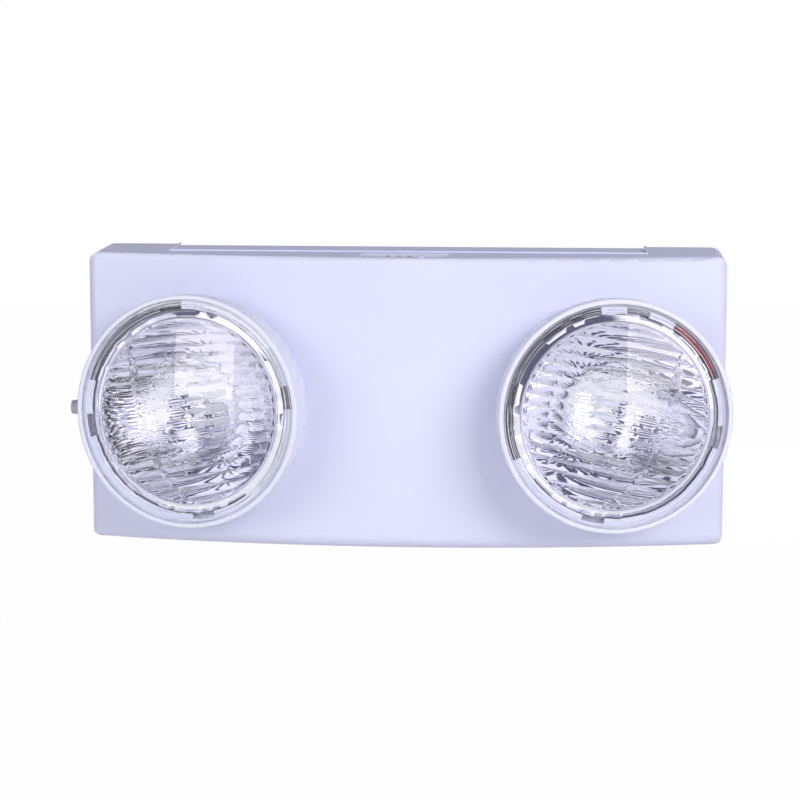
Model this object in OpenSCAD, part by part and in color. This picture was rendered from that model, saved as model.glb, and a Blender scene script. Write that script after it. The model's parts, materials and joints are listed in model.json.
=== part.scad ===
// Twin head emergency light for a wall.
// X runs to the right seen from the front, Y into the wall, Z up.
// The origin is the centre of the wall bracket's back face.

/* [Body] */
// Width of the body
body_w = 270; // [262:1:290]
// Height of the body
body_h = 123.5; // [121:0.5:132]
// Depth of the body at its two ends
end_d = 40.6; // [40:0.1:46]
// How far the front bulges forward in the middle
bulge = 16.2; // [14:0.1:18]
// Corner radius of the body seen from the front
corner_r = 5; // [3:0.5:8]
// Rounding of the upright front edges
edge_r = 5; // [3:0.5:7]
// Rounding of the long upper front edge
top_edge_r = 2; // [1:0.25:4]
// Rounding of the long lower front edge
long_edge_r = 6; // [4:0.5:7]
// Wall of the cover and of the housing
wall = 2.4; // [2:0.1:3]
// Gap between pieces that slip into each other
fit = 0.3; // [0.2:0.05:0.4]

/* [Rear housing] */
// Width of the cut-out of the cover that the housing fills
cutout_w = 202; // [190:1:210]
// Depth of the cut-out of the cover
cutout_d = 30; // [24:0.5:31]
// How far the housing's top lies below the cover's
panel_step = 0.6; // [0.4:0.1:1]
// Width of the raised lip round the cut-out's top
lip_w = 0.8; // [0.6:0.1:1.2]
// Height of that lip
lip_h = 0.5; // [0.3:0.1:0.8]
// Wall of the housing's rim
rim_t = 1.8; // [1.4:0.1:2.2]
// Height of the housing's rim
rim_d = 8; // [6:0.5:10]
// Radius of the cable entry
entry_r = 11; // [8:0.5:12]
// Height of the cable entry above the middle
entry_z = 12; // [8:0.5:16]

/* [Wall bracket] */
// Width of the bracket
bracket_w = 192; // [176:1:196]
// Height of the bracket
bracket_h = 84; // [80:1:88]
// Thickness of the bracket
bracket_t = 1.5; // [1.2:0.1:2]
// Distance between the two wall holes
fixing_w = 150; // [140:1:156]
// Radius of the wall holes
fixing_r = 2.25; // [2:0.05:2.75]
// Sideways place of the bracket's hooks
hook_x = 52; // [50:1:56]
// Height of the hooks above the middle
hook_z = 24; // [20:1:26]

/* [Heads] */
// Distance of a head's centre from the middle
head_x = 88; // [87:0.2:92]
// Distance of a head's centre below mid height
head_drop = 1.4; // [0:0.1:1.6]
// Distance of a head's centre in front of the body
head_lift = 19.2; // [18.6:0.1:21]
// Radius of a head's shell
head_r = 48.6; // [48:0.1:50]
// Wall of a head's shell
shell_t = 2; // [1.8:0.1:2.4]
// Height of a head's straight rim
rim_h = 5.4; // [5:0.1:6.4]
// Gap between a head and the cover
head_gap = 0.5; // [0.3:0.05:0.7]
// How far a head tilts each way
tilt_limit = 15; // [10:0.5:16]
// Tilt of the left head at rest
left_tilt = -5.4; // [-10:0.1:10]
// Tilt of the right head at rest
right_tilt = -1.6; // [-10:0.1:10]
// Turn of the left head about its pivot at rest
left_turn = -34; // [-90:1:90]
// Turn of the right head about its pivot at rest
right_turn = -68; // [-90:1:90]

/* [Lens] */
// Angle of the left lens's ribs to the slot of its bowl
left_rib_turn = 44; // [0:1:90]
// Angle of the right lens's ribs to the slot of its bowl
right_rib_turn = 56; // [0:1:90]
// Width of the lens's flat flange
flange_w = 3; // [2.4:0.1:3.4]
// Thickness of the lens's flange
flange_t = 2; // [1.6:0.1:2.2]
// Radius of the lens's fluted disc
disc_r = 38.9; // [38:0.1:40]
// Thickness of the fluted disc without its ribs
disc_t = 1.3; // [1:0.1:1.6]
// Spacing of the ribs
rib_pitch = 4.75; // [4:0.25:6]
// Height of the ribs
rib_h = 0.6; // [0.4:0.05:0.7]
// Length of a snap tab along the lens's edge
tab_w = 9; // [7:0.5:11]

/* [Reflector] */
// Radius of the reflector's mouth
mouth_r = 38.6; // [37:0.2:39.2]
// Depth of the reflector
dish_d = 23; // [20:0.5:24]
// Wall of the reflector
dish_t = 1.5; // [1.2:0.1:1.8]
// Radius of the hole for the emitter
neck_r = 8; // [7:0.2:9]

/* [Pivots] */
// Outer radius of the hollow pivot
pivot_r = 5; // [4.5:0.1:5.5]
// Radius of the pivot's bore
pivot_bore_r = 2.2; // [2:0.05:2.4]
// Running clearance of the pivot in its bridge
pivot_play = 0.05; // [0.03:0.01:0.08]
// Radius of the pivot's flange inside the head
clamp_r = 9; // [8:0.2:10]
// Width of the bridge behind a head
bridge_w = 18; // [16:0.5:20]
// Thickness of the bridge
bridge_t = 2; // [1.6:0.1:2.4]
// Distance of the bridge's posts from the pivot
post_z = 51.5; // [51:0.1:52.5]

/* [Controls] */
// Spacing of the lamps and the button
control_pitch = 4.6; // [4.4:0.1:5.2]
// Depth of the controls in front of the wall
control_y = 46.5; // [45:0.5:48]
// Radius of an indicator lamp
lamp_r = 1.25; // [1.2:0.05:1.6]
// Radius of the test button
button_r = 1.7; // [1.4:0.05:1.8]
// Travel of the test button
button_travel = 0.7; // [0.4:0.05:0.8]
// Width of the label pocket
pocket_w = 38; // [36:1:44]
// Depth of the label pocket's floor
pocket_d = 1.2; // [0.8:0.1:1.4]

/* [Cable bushing] */
// Distance of the bushing in front of the wall
gland_y = 20; // [17:0.5:22]
// Height of the bushing below the middle
gland_drop = 8.1; // [6:0.1:12]
// Length of the bushing outside the cover
gland_l = 12; // [10:0.2:16]
// Radius of the bushing's tip
gland_tip_r = 3; // [2.6:0.1:3.4]
// Radius of the bushing's bore
gland_bore_r = 1.7; // [1.4:0.1:2]

/* [Battery] */
// Radius of a cell
cell_r = 11.4; // [10:0.1:11.6]
// Length of a cell
cell_l = 43; // [40:0.5:44]
// Number of cells side by side
cell_count = 3; // [2:1:3]

/* [Hidden] */

// Shared helpers
over = 1;
skin = 0.03;
screw_gap = 0.1;
round_fn = 64;
wide_fn = 180;
slim_fn = 32;
WHITE = [0.92, 0.92, 0.97];
STEEL = [0.62, 0.63, 0.66];
CHROME = [0.82, 0.83, 0.86];
CLEAR = [0.86, 0.9, 0.96, 0.35];
BOARD = [0.1, 0.38, 0.2];
DARK = [0.12, 0.12, 0.14];
GREY = [0.5, 0.5, 0.53];

// Body
half_w = body_w / 2;
half_h = body_h / 2;
front_r = (half_w * half_w + bulge * bulge) / (2 * bulge);
front_y = front_r - end_d - bulge;
front_turn = asin(half_w / front_r) + 2;
inner_corner_r = max(corner_r - wall, wall / 4);
inner_edge_r = max(edge_r - wall, wall / 4);
inner_long_r = max(long_edge_r - wall, wall / 4);
inner_top_r = max(top_edge_r - wall, wall / 4);

// Housing and bracket
floor_y = bracket_t + wall;
slip = wall + fit;
panel_z = half_h - panel_step;
recess_gap = 0.4;
pan_edge = 2;
boss_in = 8.6;
boss_drop = 7;
boss_r = 4;
pad_r = 6;
pad_d = 5;
boss_x = half_w - wall - boss_in;
boss_z = half_h - wall - boss_drop;
hook_w = 12;
hook_rise = 8;
recess_low = -bracket_h / 2 - recess_gap - hook_rise;
lock_x = 53;
lock_in = 3.5;
lock_z = -bracket_h / 2 + lock_in;
lock_y = 9.5;
lock_boss_r = 5;
lock_boss_l = 11;
lock_sink = 8;
lock_head_h = 2.2;
lock_head_r = 3.2;
tab_reach = 14;

// Screws
screw_r = 1.6;
screw_head_r = 3.2;
screw_head_h = 2.2;
cover_screw_l = 17;
small_r = 1.25;
small_head_r = 2.4;
small_head_h = 1.5;

// Heads
face_turn = asin(head_x / (front_r + head_lift));
head_y = front_y - (front_r + head_lift) * cos(face_turn);
shell_in_r = head_r - shell_t;
ledge_t = 1.2;
ledge_w = 1;
lens_gap = 0.15;
flange_z = rim_h - 0.25 * flange_t - flange_t;
lens_r = shell_in_r - lens_gap;
disc_step = 1;
disc_drop = disc_step + disc_t - flange_t;
disc_z = flange_z - disc_drop;
tab_t = 1.4;
tab_l = 5;
tab_r = shell_in_r - ledge_w / 2 - tab_t;
tab_gap = 0.4;
dish_z = disc_z - rib_h - 0.1 * flange_t - dish_t;
dish_flange_w = 3.9;
dish_bottom = dish_z - dish_d;
dish_share = dish_d / (mouth_r * mouth_r - neck_r * neck_r);
dish_steps = 12;
join_r = sqrt(neck_r * neck_r + dish_t / dish_share);
neck_flange_w = 7;
strut_r = 1.5;
strut_ring_r = mouth_r + dish_flange_w - 1.05 * strut_r;
strut_count = 3;
strut_start = 60;
slot_gap = 0.5;
slot_reach = head_r * sin(tilt_limit);

// Lamp
lamp_board_r = neck_r + neck_flange_w;
lamp_board_t = 1.6;
emitter_w = 7;
emitter_h = 0.8;
dome_r = 2.6;
sink_edge = 2;
sink_r = lamp_board_r + sink_edge;
sink_base_t = 3;
fin_h = 4.4;
fin_t = 1.3;
fin_pitch = 4.3;
fin_start = 4;
fin_rows = 3;
sink_screw_in = 4.2;
sink_screw_x = neck_r + sink_screw_in;
screw_bite = 0.6 * dish_t;
board_z = dish_bottom - dish_t;
sink_z = board_z - lamp_board_t;

// Pivot, from the head outwards to the wall
play = 0.3;
clamp_t = 3.2;
washer_r = 10;
washer_t = 2.3;
spring_t = 0.6;
spring_h = 1.4;
nut_w = 13;
nut_h = 3.4;
pivot_end = 1.4;
clamp_z = shell_in_r - clamp_t;
saddle_t = 2;
saddle_r = shell_in_r - play - saddle_t;
washer_z = head_r + play + washer_t;
bridge_z = washer_z + spring_h + play / 2;
nut_z = bridge_z + bridge_t + play / 2;
pivot_z = nut_z + nut_h + pivot_end;
bridge_end = 4.5;
post_r = 4;
bridge_screw_l = 10;

// Leads
lead_r = 0.8;
core_r = 0.95;
feed_r = 1.3;
lead_sides = 8;
curve_steps = 4;
frame_ref = [0.31, 0.52, 0.79];
lead_z = clamp_z - 2 * lead_r - play;
wire_gap = 0.5;
rim_lane_r = (mouth_r + dish_flange_w + shell_in_r) / 2;

// Controls
control_depth = 10.25;
board_top = half_h - control_depth;
control_board_w = 36;
control_board_back = 38.5;
control_board_d = 14;
control_board_t = 1.6;
lamp_tip = 0.1;
lamp_body_h = 5.3;
lamp_foot_r = 1.9;
hole_gap = 0.3;
pocket_back = 35;
pocket_front = 53.5;
pocket_slope = 2.5;
pocket_pad = 4;
control_boss_x = 13.5;
control_boss_y = 42;
control_boss_r = 2.6;
control_screw_r = 1;
control_head_r = 2;
control_head_h = 1.4;
switch_w = 4.4;
switch_h = 1.8;
plunger_r = 1.1;
plunger_h = 2;
plunger_gap = 0.1;
collar_r = 2.25;
collar_h = 1;
collar_gap = 0.1;
coil_turns = 5;
coil_wire_r = 0.18;
coil_r = 1.75;
coil_steps = 12;
pocket_z = half_h - pocket_d;
pad_z = half_h - wall - pocket_d;
collar_z = pad_z - collar_gap - collar_h;
plunger_z = board_top + button_travel + plunger_gap;
spring_z = board_top + switch_h;

// Cable bushing
gland_flange_r = 6;
gland_flange_t = 2.4;
gland_root_r = 3.6;
gland_thread_r = 4;
gland_inside = 6;
gland_nut_t = 2.6;
gland_nut_w = 12;

// Battery
cell_gap = 0.4;
sleeve_t = 0.4;
cell_pitch = 2 * cell_r + cell_gap;
cell_y = floor_y + sleeve_t + cell_r;
cell_seat = 3;
cell_bottom = -half_h + panel_step + wall + cell_seat;
tip_r = 3.6;
tip_h = 1.2;
strap_z = cell_bottom + cell_l / 2;
strap_h = 12;
strap_t = 1.4;
pack_half = (cell_count * cell_pitch) / 2 + sleeve_t;
strap_y = cell_y + cell_r + sleeve_t;
foot_l = 9;
strap_post_x = pack_half + strap_t + foot_l / 2;
strap_post_r = 3.4;
strap_post_h = 6;

// Main board
main_w = 82;
lead_room = 3.5;
main_bottom = cell_bottom + cell_l + tip_h + lead_room;
board_room = 5.9;
main_h = board_top - control_board_t - board_room - main_bottom;
main_t = 1.6;
main_lift = 6.5;
main_y = floor_y + main_lift;
main_face = main_y + main_t;
main_post_in = 4.5;
main_post_r = 3;
xfmr_w = 22;
xfmr_h = 20;
xfmr_d = 16;
xfmr_flange = 1.5;
can_places = [[9, 16], [22, 14], [22, 26]];
can_radii = [5, 4, 4];
can_heights = [16, 12, 12];
fuse_r = 2.6;
fuse_l = 20;
fuse_lift = 11;
fuse_z = main_bottom + fuse_lift;
fuse_x = 6;
fuse_cap_l = 5;
term_w = 18;
term_h = 9;
term_d = 11;
term_in = 17.5;
term_x = -main_w / 2 + term_in;
term_lift = 11;
term_z = main_bottom + term_lift;
term_ways = 3;
term_hole_r = 1.6;
plug_w = 8;
plug_h = 7;
plug_d = 6;
plug_in = 4.5;
xfmr_gap = 1.5;
xfmr_x = -main_w / 2 + plug_in + plug_w / 2 + xfmr_gap + xfmr_w / 2;
xfmr_drop = 18;
xfmr_z = main_bottom + main_h - xfmr_drop;
can_start = xfmr_x + xfmr_w / 2;
can_top = main_bottom + main_h;

function tilt(side) = side < 0 ? left_tilt : right_tilt;
function turn(side) = side < 0 ? left_turn : right_turn;
function rib_turn(side) = side < 0 ? left_rib_turn : right_rib_turn;
function unit(v) = v / norm(v);
function way(path, i) = unit(path[min(i + 1, len(path) - 1)] - path[max(i - 1, 0)]);
function ring_point(path, i, r, a) =
    let (t = way(path, i), u = unit(cross(t, frame_ref)), v = cross(t, u))
    path[i] + r * (cos(a) * u + sin(a) * v);
// A point a share t of the way from b to c on a smooth curve through a, b, c and d
function between(a, b, c, d, t) =
    (b * 2 + (c - a) * t + (a * 2 - b * 5 + c * 4 - d) * t * t + (b * 3 - a - c * 3 + d) * t * t * t) / 2;
function smooth(path) = concat([for (i = [0 : len(path) - 2]) for (s = [0 : curve_steps - 1])
    between(path[max(i - 1, 0)], path[i], path[i + 1], path[min(i + 2, len(path) - 1)],
        s / curve_steps)], [path[len(path) - 1]]);
function polar(r, a, z) = [r * cos(a), r * sin(a), z];
function dish_height(r) = dish_bottom + dish_share * (r * r - neck_r * neck_r);

// A round tube along a path
module tube(path, r, sides = lead_sides) {
    rings = len(path);
    points = [for (i = [0 : rings - 1]) for (k = [0 : sides - 1]) ring_point(path, i, r, 360 * k / sides)];
    faces = [for (i = [0 : rings - 2]) for (k = [0 : sides - 1]) for (half = [0, 1])
        let (a = i * sides + k, b = i * sides + (k + 1) % sides)
        half == 0 ? [a, b, b + sides] : [a, b + sides, a + sides]];
    start = [for (k = [sides - 1 : -1 : 0]) k];
    end = [for (k = [0 : sides - 1]) (rings - 1) * sides + k];
    polyhedron(points, concat(faces, [start], [end]));
}

module rounded(w, h, r) {
    square([w, h - 2 * r], center = true);
    square([w - 2 * r, h], center = true);
    for (x = [-1, 1]) for (y = [-1, 1])
        translate([x * (w / 2 - r), y * (h / 2 - r)]) circle(r, $fn = slim_fn);
}

// Cylinder along Y from depth y1 to depth y2 in front of the wall
module peg(x, z, y1, y2, r, fn = slim_fn) {
    translate([x, -y1, z]) rotate([90, 0, 0]) cylinder(h = y2 - y1, r = r, $fn = fn);
}

// Block from depth y1 to depth y2 in front of the wall, centred on x
module block(x, w, y1, y2, z1, z2) {
    translate([x - w / 2, -y2, z1]) cube([w, y2 - y1, z2 - z1]);
}

// Outline of the body seen from above, drawn in by inset
module plan(inset, r) {
    side = half_w - inset;
    arc_r = front_r + skin - inset;
    touch = (side - r) * arc_r / (arc_r - r);
    back = front_y - sqrt((arc_r - r) * (arc_r - r) - (side - r) * (side - r));
    intersection() {
        translate([0, front_y]) circle(arc_r, $fn = 4 * wide_fn);
        union() {
            translate([-touch, -end_d - bulge - over]) square([2 * touch, end_d + bulge + 2 * over + inset]);
            translate([-side, back]) square([2 * side, over + inset - back]);
            for (x = [-1, 1]) translate([x * (side - r), back]) circle(r, $fn = slim_fn);
        }
    }
}

// Drum that gives the long front edges their rounding, r below and top_r above
module drum(inset, r, top_r) {
    arc_r = front_r - inset;
    high = half_h - inset;
    low = arc_r - end_d - bulge - 2 * over;
    translate([0, front_y, 0])
        rotate_extrude(angle = 2 * front_turn, start = -90 - front_turn, $fn = 4 * wide_fn) {
            translate([low, -high]) square([arc_r - r - low, high]);
            translate([low, 0]) square([arc_r - top_r - low, high]);
            translate([low, -high + r]) square([arc_r - low, 2 * high - r - top_r]);
            translate([arc_r - r, -high + r]) circle(r, $fn = slim_fn);
            translate([arc_r - top_r, high - top_r]) circle(top_r, $fn = slim_fn);
        }
}

// Solid of the whole body, drawn in by inset, open past the back where inset is not zero
module body_form(inset, corner, edge, long, top) {
    intersection() {
        linear_extrude(height = body_h + 2 * over, center = true) plan(inset, edge);
        drum(inset, long, top);
        translate([0, inset > 0 ? over : 0, 0]) rotate([90, 0, 0])
            linear_extrude(height = end_d + bulge + 2 * over)
                rounded(body_w - 2 * inset, body_h - 2 * inset, corner);
    }
}

module at_head(side) {
    translate([side * head_x, head_y, -head_drop]) rotate([0, 0, side * face_turn])
        rotate([90, 0, 0]) children();
}

module at_pivot(side) {
    at_head(side) rotate([0, 0, turn(side)]) children();
}

module at_bowl(side) {
    at_pivot(side) rotate([0, tilt(side), 0]) children();
}

// Cylinder on the pivot's line, from distance a to distance b behind the head's centre
module axial(a, b, r, fn = round_fn) {
    translate([0, 0, -b]) cylinder(h = b - a, r = r, $fn = fn);
}

module screw_along_y(x, z, y, l, r, head_r, head_h) {
    peg(x, z, y - head_h, y, head_r);
    peg(x, z, y - r / 2, y + l, r);
}

module front_cover() {
    front_at_boss = sqrt(front_r * front_r - boss_x * boss_x) - front_y;
    color(WHITE) difference() {
        union() {
            difference() {
                union() {
                    body_form(0, corner_r, edge_r, long_edge_r, top_edge_r);
                    translate([-cutout_w / 2 - lip_w, -cutout_d - lip_w, half_h - wall / 2])
                        cube([cutout_w + 2 * lip_w, cutout_d + lip_w, wall / 2 + lip_h]);
                }
                body_form(wall, inner_corner_r, inner_edge_r, inner_long_r, inner_top_r);
                for (z = [-1, 1]) translate([-cutout_w / 2, -cutout_d, z * half_h - wall - over / 2])
                    cube([cutout_w, cutout_d + over, 2 * wall + over]);
            }
            for (x = [-1, 1]) for (z = [-1, 1])
                peg(x * boss_x, z * boss_z, pad_d + screw_gap, front_at_boss - wall / 2, boss_r);
            for (side = [-1, 1]) at_head(side) for (z = [-1, 1]) translate([0, z * post_z, 0])
                axial(head_lift + wall / 2, bridge_z, post_r, slim_fn);
            block(0, pocket_w + pocket_pad, pocket_back - pocket_pad / 2, pocket_front,
                pad_z, half_h - wall / 2);
            for (x = [-1, 1]) translate([x * control_boss_x, -control_boss_y, board_top])
                cylinder(h = half_h - wall / 2 - board_top, r = control_boss_r, $fn = slim_fn);
        }
        for (side = [-1, 1]) at_head(side) sphere(r = head_r + head_gap, $fn = wide_fn);
        for (side = [-1, 1]) at_head(side) for (z = [-1, 1]) translate([0, z * post_z, 0])
            axial(bridge_z - bridge_screw_l, bridge_z + over, screw_r + screw_gap, slim_fn);
        for (x = [-1, 1]) for (z = [-1, 1])
            peg(x * boss_x, z * boss_z, pad_d - over, pad_d + cover_screw_l, screw_r + screw_gap);
        label_pocket();
        for (i = [0 : 2]) translate([control_x(i), -control_y, pad_z - over])
            cylinder(h = wall + pocket_d + 2 * over, r = lamp_r + hole_gap, $fn = slim_fn);
        translate([control_x(3), -control_y, pad_z - over])
            cylinder(h = wall + pocket_d + 2 * over, r = button_r + hole_gap, $fn = slim_fn);
        for (x = [-1, 1]) translate([x * control_boss_x, -control_boss_y, board_top - over])
            cylinder(h = pad_z - board_top + over, r = control_screw_r + screw_gap, $fn = slim_fn);
        translate([-half_w - over, -gland_y, -gland_drop]) rotate([0, 90, 0])
            cylinder(h = wall + 2 * over, r = gland_thread_r + screw_gap, $fn = slim_fn);
    }
}

function control_x(i) = (i - 1.5) * control_pitch;

// Pocket in the cover's top with a sloping back
module label_pocket() {
    rotate([90, 0, 90]) linear_extrude(height = pocket_w, center = true)
        polygon([[-pocket_front, pocket_z], [-pocket_back - pocket_slope, pocket_z],
            [-pocket_back, half_h], [-pocket_back, half_h + over], [-pocket_front, half_h + over]]);
}

module rear_housing() {
    in_w = body_w - 2 * slip;
    in_h = body_h - 2 * slip;
    panel_w = cutout_w - 2 * fit;
    color(WHITE) difference() {
        union() {
            rotate([90, 0, 0]) linear_extrude(height = wall) rounded(in_w, in_h, inner_corner_r);
            rotate([90, 0, 0]) linear_extrude(height = rim_d) difference() {
                rounded(in_w, in_h, inner_corner_r);
                square([in_w - 2 * rim_t, in_h - 2 * rim_t], center = true);
            }
            block(0, panel_w, 0, wall, -panel_z, panel_z);
            block(0, panel_w, 0, cutout_d - fit, panel_z - wall, panel_z);
            block(0, panel_w, 0, cutout_d - fit, -panel_z, -panel_z + wall);
            block(0, bracket_w + 2 * (recess_gap + pan_edge), 0, floor_y,
                recess_low - pan_edge, bracket_h / 2 + recess_gap + pan_edge);
            for (x = [-1, 1]) for (z = [-1, 1]) peg(x * boss_x, z * boss_z, 0, pad_d, pad_r);
            for (x = [-1, 1]) for (z = [0, 1]) peg(x * main_post_x, main_post_z(z), wall, main_y, main_post_r);
            for (x = [-1, 1]) peg(x * strap_post_x, strap_z, wall, floor_y + strap_post_h, strap_post_r);
            translate([lock_x, -lock_y, -panel_z]) cylinder(h = lock_boss_l, r = lock_boss_r, $fn = slim_fn);
        }
        block(0, bracket_w + 2 * recess_gap, -over, bracket_t, recess_low, bracket_h / 2 + recess_gap);
        peg(0, entry_z, -over, floor_y + over, entry_r, round_fn);
        for (x = [-1, 1]) for (z = [-1, 1]) {
            peg(x * boss_x, z * boss_z, -over, pad_d + over, screw_r + fit);
            peg(x * boss_x, z * boss_z, -over, screw_head_h + fit, screw_head_r + fit);
        }
        for (x = [-1, 1]) for (z = [0, 1])
            peg(x * main_post_x, main_post_z(z), floor_y, main_y + over, screw_r + screw_gap);
        for (x = [-1, 1])
            peg(x * strap_post_x, strap_z, floor_y, floor_y + strap_post_h + over, screw_r + screw_gap);
        for (x = [-1, 1]) block(x * hook_x, hook_w + 2 * fit, 0, floor_y + over,
            hook_z - hook_rise - fit, hook_z + bracket_t + fit);
        block(lock_x, hook_w + 2 * fit, 0, floor_y + over, lock_z - bracket_t - hook_rise, lock_z + fit);
        translate([lock_x, -lock_y, -panel_z - over])
            cylinder(h = lock_boss_l + 2 * over, r = screw_r + fit, $fn = slim_fn);
        translate([lock_x, -lock_y, -panel_z - over])
            cylinder(h = lock_sink + over, r = lock_head_r + fit, $fn = slim_fn);
    }
}

main_post_x = main_w / 2 - main_post_in;
function main_post_z(i) = main_bottom + main_post_in + i * (main_h - 2 * main_post_in);

module wall_bracket() {
    color(STEEL) difference() {
        union() {
            block(0, bracket_w, 0, bracket_t, -bracket_h / 2, bracket_h / 2);
            for (x = [-1, 1]) {
                block(x * hook_x, hook_w, 0, floor_y + fit + bracket_t, hook_z, hook_z + bracket_t);
                block(x * hook_x, hook_w, floor_y + fit, floor_y + fit + bracket_t, hook_z, hook_z + hook_rise);
            }
            block(lock_x, hook_w, 0, tab_reach, lock_z - bracket_t, lock_z);
        }
        for (x = [-1, 1]) peg(x * fixing_w / 2, 0, -over, bracket_t + over, fixing_r);
        peg(0, entry_z, -over, bracket_t + over, entry_r + over, round_fn);
        translate([lock_x, -lock_y, lock_z - bracket_t - over])
            cylinder(h = bracket_t + 2 * over, r = screw_r + screw_gap, $fn = slim_fn);
    }
}

module cover_screws() {
    color(STEEL) for (x = [-1, 1]) for (z = [-1, 1])
        screw_along_y(x * boss_x, z * boss_z, screw_head_h + fit, cover_screw_l, screw_r, screw_head_r, screw_head_h);
}

module lock_screw() {
    color(STEEL) translate([lock_x, -lock_y, -panel_z + lock_sink]) {
        translate([0, 0, -lock_head_h]) cylinder(h = lock_head_h, r = lock_head_r, $fn = slim_fn);
        cylinder(h = lock_z + panel_z - lock_sink + over, r = screw_r, $fn = slim_fn);
    }
}

module bridge(side) {
    reach = post_z + bridge_end;
    color(STEEL) at_head(side) difference() {
        translate([-bridge_w / 2, -reach, -bridge_z - bridge_t]) cube([bridge_w, 2 * reach, bridge_t]);
        axial(bridge_z - over, bridge_z + bridge_t + over, pivot_r + pivot_play);
        for (z = [-1, 1]) translate([0, z * post_z, 0])
            axial(bridge_z - over, bridge_z + bridge_t + over, screw_r + screw_gap, slim_fn);
    }
}

module bridge_screws() {
    color(STEEL) for (side = [-1, 1]) at_head(side) for (z = [-1, 1]) translate([0, z * post_z, 0]) {
        axial(bridge_z + bridge_t, bridge_z + bridge_t + screw_head_h, screw_head_r, slim_fn);
        axial(bridge_z + over - bridge_screw_l, bridge_z + bridge_t + over, screw_r, slim_fn);
    }
}

function cell_x(i) = (i - (cell_count - 1) / 2) * cell_pitch;

module battery_cells() {
    color(STEEL) for (i = [0 : cell_count - 1]) translate([cell_x(i), -cell_y, cell_bottom]) {
        cylinder(h = cell_l, r = cell_r, $fn = round_fn);
        translate([0, 0, cell_l - skin]) cylinder(h = tip_h, r = tip_r, $fn = slim_fn);
    }
}

module battery_sleeve() {
    color([0.15, 0.35, 0.6]) translate([0, -cell_y, cell_bottom]) linear_extrude(height = cell_l) difference() {
        union() {
            square([(cell_count - 1) * cell_pitch, 2 * (cell_r + sleeve_t)], center = true);
            for (x = [cell_x(0), cell_x(cell_count - 1)]) translate([x, 0]) circle(cell_r + sleeve_t, $fn = round_fn);
        }
        for (i = [0 : cell_count - 1]) translate([cell_x(i), 0]) circle(cell_r + skin, $fn = round_fn);
        square([(cell_count - 1) * cell_pitch, 2 * cell_r - 2 * sleeve_t], center = true);
    }
}

module battery_strap() {
    top = strap_y + fit / 2;
    seat = floor_y + strap_post_h;
    span = 2 * (pack_half + fit + strap_t);
    color(DARK) difference() {
        union() {
            block(0, span, top, top + strap_t, strap_z - strap_h / 2, strap_z + strap_h / 2);
            for (x = [-1, 1]) {
                block(x * (pack_half + fit + strap_t / 2), strap_t, seat, top + strap_t,
                    strap_z - strap_h / 2, strap_z + strap_h / 2);
                block(x * (pack_half + fit + (strap_t + foot_l) / 2), strap_t + foot_l, seat, seat + strap_t,
                    strap_z - strap_h / 2, strap_z + strap_h / 2);
            }
        }
        for (x = [-1, 1]) peg(x * strap_post_x, strap_z, seat - over, seat + strap_t + over, screw_r + screw_gap);
    }
}

module screw_from_front(x, z, y, l) {
    peg(x, z, y, y + screw_head_h, screw_head_r);
    peg(x, z, y - l, y + screw_r / 2, screw_r);
}

module strap_screws() {
    color(STEEL) for (x = [-1, 1])
        screw_from_front(x * strap_post_x, strap_z, floor_y + strap_post_h + strap_t, strap_post_h);
}

module board_screws() {
    color(STEEL) for (x = [-1, 1]) for (z = [0, 1])
        screw_from_front(x * main_post_x, main_post_z(z), main_face, main_lift);
}

module battery_leads() {
    top = cell_bottom + cell_l + tip_h;
    plug_z = main_bottom - wire_gap / 2;
    color([0.75, 0.1, 0.1]) for (s = [-1, 1])
        tube(smooth([[s * cell_x(cell_count - 1), -cell_y, top + play],
            [s * cell_x(cell_count - 1), -cell_y, top + 2 * lead_r],
            [s * (cell_x(cell_count - 1) - cell_r / 2), -cell_y, plug_z - lead_r * 2],
            [s * cell_r, -main_face - lead_r, plug_z - lead_r],
            [s * cell_r / 2, -main_face - plug_d / 2, main_bottom + lead_r]]), lead_r);
}

module main_board() {
    color(BOARD) difference() {
        block(0, main_w, main_y, main_face, main_bottom, main_bottom + main_h);
        for (x = [-1, 1]) for (z = [0, 1])
            peg(x * main_post_x, main_post_z(z), main_y - over, main_face + over, screw_r + screw_gap);
    }
}

module transformer() {
    color(DARK) {
        block(xfmr_x, xfmr_w, main_face, main_face + xfmr_d, xfmr_z - xfmr_h / 2 + xfmr_flange,
            xfmr_z + xfmr_h / 2 - xfmr_flange);
        block(xfmr_x, xfmr_w / 2, main_face, main_face + xfmr_d - xfmr_flange, xfmr_z - xfmr_h / 2,
            xfmr_z + xfmr_h / 2);
    }
}

module capacitors() {
    color(DARK) for (i = [0 : len(can_places) - 1])
        peg(can_start + can_places[i][0], can_top - can_places[i][1],
            main_face, main_face + can_heights[i], can_radii[i]);
}

module fuse() {
    color(CLEAR) translate([fuse_x, -main_face - fuse_r - fit, fuse_z]) rotate([0, 90, 0]) {
        cylinder(h = fuse_l, r = fuse_r - fit, $fn = slim_fn, center = true);
        for (s = [-1, 1]) translate([0, 0, s * (fuse_l - fuse_cap_l) / 2])
            cylinder(h = fuse_cap_l, r = fuse_r, $fn = slim_fn, center = true);
    }
}

module terminal_block() {
    color(GREY) difference() {
        block(term_x, term_w, main_face, main_face + term_d, term_z - term_h / 2, term_z + term_h / 2);
        for (i = [0 : term_ways - 1])
            translate([term_x + (i - (term_ways - 1) / 2) * term_w / term_ways, -main_face - term_d / 2,
                term_z - term_h / 2 - over]) cylinder(h = term_h / 2 + over, r = term_hole_r, $fn = slim_fn);
    }
}

plug_x = main_w / 2 - plug_in;
plug_z = main_bottom + main_h / 2;

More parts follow.
